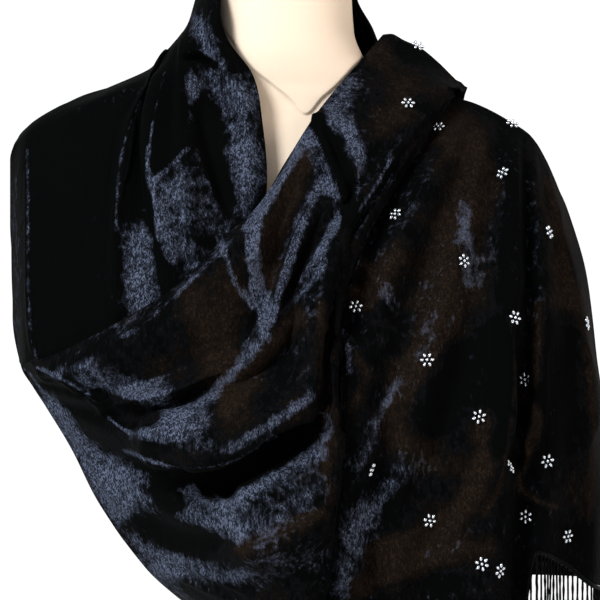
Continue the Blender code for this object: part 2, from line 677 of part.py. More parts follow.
def main():
    clear_scene()
    collection = bpy.data.collections.new("evening_stole_on_dress_form")
    bpy.context.scene.collection.children.link(collection)
    velvet = make_material("black_velvet", VELVET, 0.6)
    jersey = make_material("cream_jersey", JERSEY, 0.8)
    cord = make_material("black_fringe_cord", VELVET, 0.5)
    paint = make_material("stand_paint", PAINT, 0.4)
    build_form(collection, jersey)
    build_stand(collection, paint)
    right = right_shoulder_sheet()
    left = left_front_sheet()
    back = back_sheet()
    swath = swath_sheet((right, left))
    end = back_end_sheet((back,))
    wall_object("stole_right_shoulder", right, velvet, collection)
    wall_object("stole_left_front", left, velvet, collection, flip=True)
    wall_object("stole_back", back, velvet, collection, flip=True)
    wall_object("stole_cross_swath", swath, velvet, collection, flip=True)
    wall_object("stole_back_end", end, velvet, collection, flip=True)
    build_fringe("fringe_front", left[:, -1], -grid_normals(left)[:, -1], collection, cord)
    build_fringe("fringe_back", end[-1], -grid_normals(end)[-1], collection, cord)
    for piece in collection.objects:
        piece.data.transform(Matrix.Translation((-BOX_MIDDLE[0] * MM, -BOX_MIDDLE[1] * MM, 0.0)))


main()
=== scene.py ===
# An evening stole of crushed velvet, wound round a dress form on a stand.
# Lengths are millimetres from the neck's middle, x to the side and z up.
# Creases, bead flowers, and the painted sheen and painted shade on the velvet are placed as the camera sees
# them, 600 units across.
import math

import bpy
import numpy as np
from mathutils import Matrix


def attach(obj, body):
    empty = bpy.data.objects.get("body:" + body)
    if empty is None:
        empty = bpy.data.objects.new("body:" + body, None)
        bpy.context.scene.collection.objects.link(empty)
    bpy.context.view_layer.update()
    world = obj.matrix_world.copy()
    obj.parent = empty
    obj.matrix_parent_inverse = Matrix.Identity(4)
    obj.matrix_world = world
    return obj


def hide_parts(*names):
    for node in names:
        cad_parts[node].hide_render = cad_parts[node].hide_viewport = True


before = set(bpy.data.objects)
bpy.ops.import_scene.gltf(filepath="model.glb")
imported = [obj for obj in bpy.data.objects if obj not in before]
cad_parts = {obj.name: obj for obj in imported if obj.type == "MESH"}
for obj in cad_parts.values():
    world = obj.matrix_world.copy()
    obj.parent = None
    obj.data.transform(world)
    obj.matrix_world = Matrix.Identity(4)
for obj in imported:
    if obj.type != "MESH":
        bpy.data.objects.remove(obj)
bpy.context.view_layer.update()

mm = 0.001  # metres
cloth = 1.6  # thickness of the velvet
seam = 0.1  # between the sheets in front and behind, at the outline
layerClearance = 4.6  # from one layer of cloth up to the next
roundness = 2.3  # n of the rings |x / a|^n + |y / b|^n = 1
boxMiddle = np.array([18.6, -21.4, 0.0])  # comes to lie at the origin
cameraAt = np.array([11.0, -1600.0, 448.0])
unitsPerMm = 1.25  # of the view, at the neck's middle
viewMiddle = 300.0


# Curves

# Monotone cubic through the values, one for each station.
def smoothBetween(stations, values, at):
    stations = np.asarray(stations, float)
    values = np.asarray(values, float)
    flat = values.reshape(len(stations), -1)
    step = np.diff(stations)[:, None]
    slope = np.diff(flat, axis=0) / step
    total = slope[:-1] + slope[1:]
    product = slope[:-1] * slope[1:]
    safe = np.where(np.abs(total) < 1e-12, 1.0, total)
    tangent = np.concatenate([slope[:1], np.where(product > 0, 2 * product / safe, 0.0), slope[-1:]])
    at = np.asarray(at, float)
    cell = np.clip(np.searchsorted(stations, at, side="right") - 1, 0, len(stations) - 2)
    width = step[cell]
    t = np.clip((at - stations[cell])[:, None] / width, 0.0, 1.0)
    low = (2 * t ** 3 - 3 * t ** 2 + 1) * flat[cell] + (t ** 3 - 2 * t ** 2 + t) * width * tangent[cell]
    high = (3 * t ** 2 - 2 * t ** 3) * flat[cell + 1] + (t ** 3 - t ** 2) * width * tangent[cell + 1]
    return (low + high).reshape((len(at),) + values.shape[1:])


# Catmull-Rom through values that lie one step apart.
def easyCurve(values, at):
    values = np.asarray(values, float)
    points = np.concatenate([2 * values[:1] - values[1:2], values, 2 * values[-1:] - values[-2:-1]])
    at = np.asarray(at, float)
    cell = np.clip(np.floor(at).astype(int), 0, len(values) - 2)
    t = (at - cell).reshape((-1,) + (1,) * (values.ndim - 1))
    before, here, there, after = points[cell], points[cell + 1], points[cell + 2], points[cell + 3]
    bend = 2 * before - 5 * here + 4 * there - after
    twist = 3 * here - before - 3 * there + after
    return here + 0.5 * t * (there - before + t * (bend + t * twist))


# Named column of a table, read along its first column.
def tableCurve(table, column, at):
    rows = np.array(sorted(table["rows"]), float)
    number = table["columns"].index(column)
    return smoothBetween(rows[:, 0], rows[:, number], np.ravel(at)).reshape(np.shape(at))


# Smooth step: 3 t^2 - 2 t^3 between low and high
def softStep(low, high, value):
    t = np.clip((value - low) / (high - low), 0.0, 1.0)
    return t * t * (3 - 2 * t)


# What the camera sees

# Place of each point in the camera's view, 600 units each way.
def seen(points):
    spread = unitsPerMm * -cameraAt[1] / (points[..., 1] - cameraAt[1])
    u = viewMiddle + (points[..., 0] - cameraAt[0]) * spread
    v = viewMiddle - (points[..., 2] - cameraAt[2]) * spread
    return np.stack([u, v], axis=-1)


# Signed distance of each point to a path, and how far along the path it lies, 0 to 1.
def fromPath(view, path, reach):
    path = easyCurve(np.array(path, float), np.linspace(0, len(path) - 1, 10 * (len(path) - 1) + 1))
    low = path.min(axis=0) - reach
    high = path.max(axis=0) + reach
    flat = view.reshape(-1, 2)
    near = np.all((flat > low) & (flat < high), axis=1)
    distance = np.full(len(flat), 1e6)
    share = np.zeros(len(flat))
    here = flat[near]
    if len(here):
        start = path[:-1]
        step = np.diff(path, axis=0)
        size = np.maximum((step ** 2).sum(axis=1), 1e-9)
        away = here[:, None] - start[None]
        t = np.clip((away * step[None]).sum(axis=2) / size[None], 0.0, 1.0)
        off = away - step[None] * t[..., None]
        square = (off ** 2).sum(axis=2)
        best = square.argmin(axis=1)
        pick = np.arange(len(here))
        side = step[best, 0] * away[pick, best, 1] - step[best, 1] * away[pick, best, 0]
        distance[near] = np.sqrt(square[pick, best]) * np.where(side < 0, -1.0, 1.0)
        share[near] = (best + t[pick, best]) / len(step)
    return distance.reshape(view.shape[:-1]), share.reshape(view.shape[:-1])


# The dressed outline, a ring for each height, and the bust under it

dressed = {
    "columns": ("height", "right", "left", "front", "back"),
    "rows": (
        (160, 56, 258, 112, 101), (180, 62, 258, 115, 101), (209, 78, 258, 119, 101),
        (226, 103, 258, 119, 100), (254, 128, 258, 124, 101), (289, 152, 257, 129, 102),
        (329, 172, 255, 132, 103), (362, 192, 252, 133, 104), (379, 203, 250, 133, 104),
        (394, 212, 249, 132, 104), (435, 219, 245, 125, 104), (470, 219, 240, 112, 104),
        (509, 221, 229, 97, 103), (537, 221, 218, 85, 100), (560, 221, 208, 74, 96), (579, 214, 196, 64, 90),
        (594, 197, 174, 57, 85), (605, 177, 152, 54, 82), (612, 162, 130, 53, 79), (622, 130, 108, 52, 76),
        (635, 106, 90, 52, 70), (652, 91, 75, 53, 66), (666, 80, 69, 55, 63), (688, 73, 57, 57, 61),
        (702, 69, 54, 58, 61), (720, 62, 52, 58, 61),
    ),
}

dressForm = {
    "turn": math.radians(4.0), "clearance": 2.9, "rounds": (290, 300),
    "columns": ("height", "halfWidth", "front", "back"),
    "rows": (
        (250, 70, 52, 50), (251, 88, 66, 62), (256, 100, 75, 70), (268, 108, 82, 75), (300, 119, 91, 81),
        (350, 134, 107, 87), (400, 144, 119, 90), (440, 152, 112, 92), (480, 164, 97, 92),
        (520, 182, 79, 88), (545, 193, 67, 80), (566, 195, 56, 70), (583, 185, 48, 60), (595, 159, 44, 55),
        (604, 128, 43, 53), (614, 98, 43, 53), (628, 74, 45, 54), (643, 61, 47, 54), (662, 54, 48, 53),
        (700, 52, 50, 53), (744, 53, 52, 54),
    ),
    # The neck's cover ends in a crossed seam, seen from the front, and the chest lies back under it
    "neckSeam": {"recess": 2.6, "steep": 1.8, "halfWidth": 80,
                 "path": ((236, 46), (250, 66), (268, 81), (288, 97), (306, 114),
                          (322, 98), (338, 84), (356, 64))},
    "crown": ((0.97, 1.4), (0.82, 3.5), (0.45, 6.0), (0.15, 6.8)),
}


# Depth of a rounded ring at x: depth * (1 - |x / halfWidth| ^ n) ^ (1 / n).
def ringDepth(x, halfWidth, depth):
    share = np.clip(np.abs(x) / halfWidth, 0.0, 1.0)
    return depth * (1.0 - share ** roundness) ** (1.0 / roundness)


# Half widths of the dressed outline, right and left
def outlineAt(z):
    return tableCurve(dressed, "right", z), tableCurve(dressed, "left", z)


# Depth of the dressed front at x and height z, as a rounded ring.
def dressedFront(x, z):
    right, left = outlineAt(z)
    return ringDepth(x, np.where(x < 0, right, left), tableCurve(dressed, "front", z))


# Ring measure of the turned bust: 1 on it, more outside.
def formMeasure(points):
    turn = dressForm["turn"]
    x = points[..., 0] * math.cos(turn) + points[..., 1] * math.sin(turn)
    y = points[..., 1] * math.cos(turn) - points[..., 0] * math.sin(turn)
    z = np.clip(points[..., 2], dressForm["rows"][0][0], dressForm["rows"][-1][0])
    depth = np.where(y < 0, tableCurve(dressForm, "front", z), tableCurve(dressForm, "back", z))
    total = np.abs(x / tableCurve(dressForm, "halfWidth", z)) ** roundness + np.abs(y / depth) ** roundness
    return np.maximum(total, 1e-9) ** (1.0 / roundness)


# Moves points out along the slope of the ring measure until they are clear of the bust.
def clearOfForm(points, rounds=3):
    step = 0.5
    for _ in range(rounds):
        here = formMeasure(points)
        slope = np.empty_like(points)
        for axis in range(3):
            shift = np.zeros(3)
            shift[axis] = step
            slope[..., axis] = (formMeasure(points + shift) - formMeasure(points - shift)) / (2 * step)
        steepness = np.maximum(np.linalg.norm(slope, axis=-1), 1e-6)
        lack = np.clip(dressForm["clearance"] - (here - 1.0) / steepness, 0.0, 12.0)
        points = points + slope / steepness[..., None] * lack[..., None]
    return points


# Normal of a grid: the cross product of its two slopes, at length 1
def gridNormals(grid):
    normal = np.cross(np.gradient(grid, axis=0), np.gradient(grid, axis=1))
    return normal / np.maximum(np.linalg.norm(normal, axis=-1, keepdims=True), 1e-9)


# Height of one crease: a soft ridge or trough, exp(-(d / w)^2), with tapered ends.
# With a lip it falls off within a few units, steep, on one side of its path.
def creaseHeight(view, rise, width, path, lip=0, steep=3.0, fade=0.25):
    distance, share = fromPath(view, path, 3.2 * width)
    ends = softStep(0.0, fade, np.minimum(share, 1 - share)) if fade else 1.0
    return rise * np.exp(-(distance / np.where(distance * lip > 0, steep, width)) ** 2) * ends


# Moves a sheet along its normals by the sum of its creases
def pressCreases(grid, creases, outward):
    view = seen(grid)
    rise = sum(creaseHeight(view, *crease) for crease in creases)
    return grid + gridNormals(grid) * outward * rise[..., None]


# Sum of soft strokes, strength * exp(-(d / w)^2)
def strokes(view, table):
    total = np.zeros(view.shape[:-1])
    for strength, width, path in table:
        total += strength * np.exp(-(fromPath(view, path, 2.6 * width)[0] / width) ** 2)
    return total


# Sheets of cloth. In each piece, folds have a name, their rise in mm and their course. Creases have rise,
# width, course, lip, steep and fade. The strokes of painted sheen and shade (blue-grey painted sheen, dark
# painted shade in creases) and of painted warm sheen (brown) have strength, width and course.

# Surface through a table of folds: a curve along each fold, then from fold to fold.
def foldSheet(piece):
    across, along = piece["grid"]
    share = np.array(list(piece["sections"].values()))
    shoulderShare = np.array(piece.get("shoulderShare", (0.0,) * len(share)))
    lines = []
    for _name, *rises, places in piece["folds"]:
        rise = rises[-1] + (rises[0] - rises[-1]) * shoulderShare
        places = np.array(places, float)
        x, z = places[:, 0], places[:, 1]
        base = dressedFront(x, z)
        reach = np.clip(base / tableCurve(dressed, "front", z), 0.0, 1.0)
        lines.append(np.stack([x, -(base + rise * share * reach), z], axis=-1))
    lines = np.array(lines)
    down = np.linspace(0.0, lines.shape[1] - 1.0, along + 1)
    lines = np.swapaxes(easyCurve(np.swapaxes(lines, 0, 1), down), 0, 1)
    return smoothBetween(np.arange(len(lines)), lines, np.linspace(0.0, len(lines) - 1.0, across + 1))


# Puts an edge of a front sheet on the outline.
def pinToOutline(row):
    right, left = outlineAt(row[..., 2])
    row[..., 0] = np.where(row[..., 0] < 0, -right, left)
    row[..., 1] = -seam / 2
    return row


# Keeps a front sheet in front of the middle: y at most -seam / 2.
def inFront(grid):
    grid[..., 1] = np.minimum(grid[..., 1], -seam / 2)
    return grid


# Square cells over the front view, in mm, for the sheets that others rest on
chart = {"cell": 4.0, "corner": (-240.0, 130.0), "size": (136, 156)}


# Cell of each point: (x - corner) / cell, and the same with z.
def chartPlace(points):
    column = ((points[..., 0] - chart["corner"][0]) / chart["cell"]).astype(int)
    row = ((points[..., 2] - chart["corner"][1]) / chart["cell"]).astype(int)
    return np.clip(column, 1, chart["size"][0] - 2), np.clip(row, 1, chart["size"][1] - 2)


# Largest side * y of the sheets in each cell.
def chartOf(sheets, side):
    heights = np.full(chart["size"], -np.inf)
    for sheet in sheets:
        np.maximum.at(heights, chartPlace(sheet.reshape(-1, 3)), side * sheet.reshape(-1, 3)[:, 1])
    return heights


# Mean of the four neighbours in a grid padded by one
def neighbourMean(padded):
    return (padded[:-2, 1:-1] + padded[2:, 1:-1] + padded[1:-1, :-2] + padded[1:-1, 2:]) / 4.0


# How far each upper point moves along y to lie over the lower sheets
def restOver(upper, lowers, side, rounds):
    heights = chartOf(lowers, side)
    wide = heights.copy()
    for dx in (-1, 0, 1):
        for dz in (-1, 0, 1):
            wide = np.maximum(wide, np.roll(np.roll(heights, dx, 0), dz, 1))
    lack = np.maximum(wide[chartPlace(upper)] + layerClearance - side * upper[..., 1], 0.0)
    soft = lack.copy()
    for _ in range(rounds):
        soft = np.maximum(lack, neighbourMean(np.pad(soft, 1, mode="edge")))
    return soft


# The hem turns down to the sheet below it in a quarter round: h = low + (h - low) sqrt(1 - (1 - t)^2).
def rollHem(grid, under, width):
    low = chartOf([under], -1.0)[chartPlace(grid)] + layerClearance
    flat = grid[..., ::2] * (1, -1)
    distance = fromPath(flat, flat[-1, ::12], width)[0]
    t = np.clip(np.abs(distance) / width, 0.0, 1.0)
    t = np.maximum(np.sqrt(1.0 - (1.0 - t) ** 2), softStep(232.0, 196.0, grid[..., 2]))
    height = -grid[..., 1]
    rolled = np.where(np.isfinite(low) & (height > low), low + (height - low) * t, height)
    for _ in range(2):
        edge = np.pad(rolled, ((1, 0), (1, 1)), mode="edge")
        mean = (edge[:-1, 1:-1] + edge[1:, 1:-1] + edge[1:, :-2] + edge[1:, 2:]) / 4.0
        rolled = np.where(t < 1.0, mean, rolled)
    grid[..., 1] = -rolled
    return grid


rightShoulder = {
    "grid": (170, 190),
    "sections": {"ridge": 0.0, "collar": 0.4, "shoulder": 0.9, "chest": 1.0, "bust": 0.9, "side": 0.5,
                 "tuck": -0.2},
    "folds": (
        ("neckEdge", 4, ((-61, 717), (-53, 684), (-46, 652), (-25, 621), (-18, 586), (-14, 535), (-22, 476))),
        ("edgeRoll", 12, ((-65, 714), (-60, 679), (-53, 645), (-37, 609), (-30, 577), (-27, 531), (-35, 466))),
        ("hollow", 5, ((-69, 702), (-66, 675), (-62, 637), (-51, 599), (-46, 562), (-45, 519), (-53, 454))),
        ("crest", 13, ((-73, 688), (-73, 668), (-74, 632), (-73, 592), (-71, 554), (-67, 512), (-67, 444))),
        ("pleat", 17, ((-78, 671), (-82, 656), (-92, 633), (-100, 603), (-105, 563), (-99, 519), (-83, 436))),
        ("foot", 6, ((-83, 662), (-90, 651), (-100, 636), (-108, 604), (-112, 564), (-107, 519), (-92, 432))),
        ("rise", 9, ((-91, 652), (-97, 641), (-104, 628), (-115, 596), (-120, 562), (-119, 517), (-107, 424))),
        ("step", 14, ((-99, 644), (-103, 631), (-107, 616), (-121, 584), (-126, 547), (-129, 504), (-122, 419))),
        ("dip", 3, ((-107, 634), (-110, 624), (-113, 613), (-129, 585), (-134, 547), (-137, 505), (-133, 414))),
        ("flat", 3, ((-143, 618), (-144, 608), (-146, 596), (-151, 567), (-154, 527), (-156, 486), (-157, 400))),
        ("side", 2, ((-181, 602), (-181, 593), (-181, 582), (-183, 560), (-184, 525), (-183, 471), (-183, 394))),
        ("fold", 6, ((-201, 590), (-202, 583), (-203, 573), (-204, 554), (-202, 522), (-199, 456), (-201, 393))),
        ("edge", 0, ((-214, 579), (-218, 570), (-221, 560), (-221, 537), (-221, 509), (-220, 450), (-214, 399))),
    ),
    "creases": (
        (7, 22, ((166, 58), (155, 96), (148, 148), (151, 180), (161, 240), (174, 292)), 1, 3, 0.15),
        (6, 16, ((153, 74), (130, 132), (121, 180), (115, 232), (114, 304), (128, 328)), 1, 3, 0.15),
        (4, 14, ((184, 30), (180, 78), (176, 156)), 1),
        (-9, 3.5, ((182, 61), (197, 56), (214, 65))),
        (1.5, 3, ((182, 55), (198, 52), (212, 58))),
        (3, 8, ((206, 20), (222, 60), (244, 110), (256, 170))),
        (-6, 8, ((198, 96), (207, 135), (219, 175), (230, 226))),
        (2.5, 4, ((196, 150), (212, 190), (228, 228))),
        (4, 12, ((196, 110), (184, 160), (188, 215), (204, 260))),
        (-3, 8, ((168, 150), (172, 200), (184, 250), (196, 280))),
        (2.5, 3, ((26, 148), (28, 200), (29, 300), (32, 340), (38, 368))),
        (1.6, 12, ((50, 120), (84, 150), (112, 190))),
        (-2, 14, ((60, 200), (70, 260), (90, 320))),
    ),
    # Painted sheen and shade on this sheet: blue-grey strokes are painted sheen on lit folds, negative strokes
    # are painted shade in the creases, brown strokes are painted warm sheen, and the base adds a painted
    # highlight on folds facing the window.
    "sheenShadeBase": -0.12, "warmSheenBase": -0.3, "paintedFoldHighlight": 0.3,
    "sheenShade": (
        (0.8, 10, ((197, 20), (206, 42), (216, 64))),
        (0.62, 15, ((192, 84), (222, 86), (246, 96))),
        (0.55, 9, ((190, 78), (192, 100), (193, 124))),
        (-1.2, 5, ((176, 70), (174, 110), (171, 148))),
        (0.62, 19, ((244, 96), (250, 135), (256, 175))),
        (0.55, 13, ((240, 150), (246, 180), (246, 210))),
        (0.6, 19, ((170, 192), (174, 228), (190, 268))),
        (0.45, 17, ((188, 166), (202, 210), (222, 246))),
        (0.3, 4, ((196, 150), (212, 190), (228, 226))),
        (1, 2.8, ((153, 182), (170, 165), (187, 148))),
        (1.15, 19, ((138, 240), (136, 276), (140, 312))),
        (-1, 8, ((200, 108), (211, 150), (226, 200))),
        (-1.1, 13, ((170, 66), (167, 106), (166, 150))),
        # Painted shade in the small crease under the collar.
        (-1.5, 3.5, ((182, 61), (198, 56), (214, 65))),
        (0.5, 2, ((182, 55), (198, 50), (210, 56))),
        (-0.9, 4.5, ((150, 196), (155, 240), (166, 288))),
        (0.45, 8, ((160, 188), (163, 220), (170, 250))),
        (2.1, 2.2, ((165, 72), (157, 108), (149, 148), (149, 174), (154, 200), (158, 238))),
        (-1, 9, ((176, 60), (165, 110), (160, 156))),
        (0.7, 2, ((27, 150), (28, 200), (29, 300), (32, 340), (38, 364))),
        (0.75, 1.8, ((142, 96), (124, 143), (118, 181), (116, 230))),
        (0.5, 6, ((14, 180), (17, 260), (17, 350))),
        (0.16, 8, ((40, 124), (90, 100), (150, 84))),
        (-0.45, 26, ((50, 140), (90, 130), (140, 120))),
        (-0.6, 44, ((74, 190), (80, 320))),
    ),
    "warmSheen": (
        (0.5, 15, ((186, 176), (198, 210), (212, 244))),
        (0.4, 9, ((190, 90), (192, 126))),
    ),
}


# The stretch from behind the neck over the right shoulder: folds run down it
def rightShoulderSheet():
    grid = foldSheet(rightShoulder)
    grid[:, 0] = pinToOutline(grid[:, 0])
    grid[-1] = pinToOutline(grid[-1])
    grid = inFront(clearOfForm(grid))
    return inFront(clearOfForm(pressCreases(grid, rightShoulder["creases"], 1.0), 2))


leftFront = {
    "grid": (200, 200),
    "sections": {"ridge": 0.0, "shoulder": 0.8, "chest": 1.0, "waist": 1.0, "fall": 1.0, "hem": 1.0},
    "folds": (
        ("tuck", 1, ((112, 618), (87, 560), (36, 478), (22, 389), (18, 301), (18, 188))),
        ("firstHollow", 3, ((126, 613), (104, 560), (62, 485), (42, 400), (32, 310), (28, 186))),
        ("firstFold", 11, ((138, 609), (121, 560), (84, 488), (60, 404), (46, 317), (38, 184))),
        ("secondHollow", 4, ((150, 605), (137, 559), (108, 487), (84, 404), (66, 318), (54, 184))),
        ("secondFold", 15, ((161, 600), (151, 555), (130, 484), (108, 404), (88, 320), (72, 186))),
        ("thirdHollow", 6, ((170, 595), (162, 550), (146, 478), (132, 402), (112, 322), (94, 190))),
        ("thirdFold", 20, ((177, 591), (170, 545), (160, 474), (152, 398), (138, 326), (118, 192))),
        ("hangingEdge", 27, ((183, 587), (178, 540), (174, 470), (170, 396), (162, 330), (150, 194))),
        ("deepValley", 1, ((189, 583), (185, 537), (182, 467), (180, 394), (177, 328), (173, 202))),
        ("sideFold", 20, ((195, 578), (194, 529), (196, 459), (197, 392), (195, 328), (187, 262))),
        ("sideHollow", 3, ((200, 573), (203, 522), (212, 456), (215, 387), (216, 319), (212, 250))),
        ("outerFold", 15, ((205, 566), (211, 516), (226, 448), (232, 383), (235, 310), (235, 232))),
        ("outline", 0, ((209, 558), (221, 530), (240, 470), (250, 379), (256, 300), (258, 218))),
    ),
    "creases": (
        (3, 3, ((340, 250), (350, 262), (364, 268))),
        (-3, 3.5, ((344, 274), (352, 280), (362, 278))),
        (2.5, 3, ((346, 288), (358, 292), (370, 304))),
        (2, 2.6, ((352, 320), (356, 336), (352, 352))),
        (2.5, 3.5, ((352, 252), (364, 266), (376, 290))),
        (-2, 3.5, ((346, 262), (357, 274), (362, 290))),
        (2, 3, ((366, 294), (380, 302), (392, 322))),
        (3, 4, ((526, 462), (519, 486), (538, 501), (556, 507))),
        (2.5, 3, ((530, 468), (542, 480), (552, 498))),
        (3, 5, ((544, 394), (530, 412), (524, 440), (520, 462))),
        (-6, 14, ((446, 118), (402, 165), (374, 215), (352, 262))),
        (4, 18, ((474, 112), (446, 160), (422, 215), (396, 262), (374, 300))),
        (-4, 14, ((500, 130), (478, 190), (440, 250), (412, 300), (392, 350))),
        (12, 22, ((348, 318), (350, 370), (348, 430), (344, 500), (338, 560), (334, 610)), 1, 5, 0.15),
        (5, 10, ((406, 374), (388, 410), (366, 450), (348, 484))),
        (5, 10, ((378, 510), (354, 550), (336, 592))),
        (6, 16, ((513, 320), (514, 380), (510, 428), (500, 466), (483, 512)), -1),
        (-8, 7, ((521, 290), (522, 380), (520, 440), (508, 480))),
        (5, 6, ((537, 320), (538, 370), (532, 420), (523, 440), (525, 462), (518, 488))),
        (-5, 8, ((552, 330), (556, 390), (548, 450), (552, 500))),
        (4, 6, ((574, 316), (584, 350), (593, 384), (594, 420), (584, 452), (590, 520))),
        (5, 14, ((476, 396), (452, 450), (424, 500), (404, 560))),
        (-5, 12, ((452, 420), (428, 466), (406, 520), (388, 570))),
        (4, 10, ((504, 516), (460, 550), (414, 570), (380, 594))),
        (3, 10, ((560, 190), (540, 250), (524, 300))),
        (2.5, 4, ((346, 268), (362, 280), (372, 300))),
        (2.5, 4, ((344, 300), (358, 312), (362, 330))),
    ),
    # Painted sheen and shade on this sheet: blue-grey strokes are painted sheen on lit folds, negative strokes
    # are painted shade, brown strokes are painted warm sheen on the crumples and folds, and the base adds a
    # painted highlight on folds facing the window.
    "sheenShadeBase": -0.06, "warmSheenBase": 0.12, "paintedFoldHighlight": 0.3,
    "sheenShade": (
        (0.3, 16, ((470, 286), (450, 320), (428, 356))),
        (0.7, 9, ((464, 208), (468, 240), (470, 280))),
        (0.6, 8, ((384, 290), (392, 302))),
        (0.9, 3.5, ((343, 334), (348, 350), (349, 372))),
        (0.55, 9, ((396, 380), (384, 410), (370, 440), (356, 470))),
        (0.5, 13, ((420, 462), (396, 480), (364, 510), (346, 530))),
        (0.75, 12, ((368, 516), (356, 546), (340, 590))),
        (-0.3, 20, ((440, 380), (460, 440), (440, 500))),
        (-0.6, 16, ((490, 290), (494, 370), (486, 450))),
    ),
    "warmSheen": (
        (0.7, 3, ((526, 462), (519, 486), (538, 501), (556, 507))),
        (0.5, 4, ((364, 262), (374, 276), (384, 292))),
        (0.6, 3, ((340, 250), (350, 262), (364, 268))),
        (0.6, 3, ((346, 288), (358, 292), (370, 304))),
        (0.4, 14, ((350, 296), (370, 312), (384, 330))),
        (0.75, 28, ((452, 130), (478, 190), (452, 250), (440, 310))),
        (0.7, 14, ((552, 190), (562, 250), (560, 300))),
        (0.6, 14, ((398, 250), (378, 280), (366, 296))),
        (0.5, 16, ((470, 290), (440, 330), (410, 370))),
        (0.8, 15, ((440, 318), (412, 366), (396, 410), (404, 440), (424, 452))),
        (0.9, 13, ((488, 420), (482, 466), (462, 512), (420, 540), (380, 552))),
        (0.8, 14, ((484, 546), (440, 556), (400, 570), (360, 586))),
        (0.6, 7, ((356, 356), (366, 380), (350, 410))),
        (0.5, 3, ((510, 320), (515, 380), (504, 470), (485, 516))),
        (0.7, 6, ((537, 305), (537, 350), (534, 385))),
        (0.9, 6, ((528, 398), (538, 420), (528, 452))),
        (0.7, 12, ((574, 290), (590, 330), (597, 370))),
        (0.5, 4, ((590, 370), (594, 440), (590, 520))),
        (-0.9, 12, ((400, 140), (384, 190), (368, 244))),
        (-0.8, 11, ((460, 360), (448, 390), (440, 420))),
        (-0.8, 11, ((500, 330), (500, 390), (496, 444))),
        (-0.8, 12, ((560, 340), (558, 390), (556, 440))),
        (-0.6, 12, ((508, 150), (516, 210), (514, 290))),
    ),
    "flowers": (
        (438, 127), (503, 173), (549, 232), (395, 214), (463, 262), (355, 307), (515, 317), (586, 323),
        (427, 361), (524, 379), (479, 418), (371, 470), (509, 467), (547, 462), (429, 521), (526, 516),
        (567, 537), (483, 565), (499, 569), (512, 124),
    ),
}


# The first end over the left shoulder: folds run from the shoulder down to the fringe
def leftFrontSheet():
    grid = foldSheet(leftFront)
    grid[:, 0] = pinToOutline(grid[:, 0])
    grid[-1] = pinToOutline(grid[-1])
    grid = inFront(clearOfForm(grid))
    return inFront(clearOfForm(pressCreases(grid, leftFront["creases"], -1.0), 2))


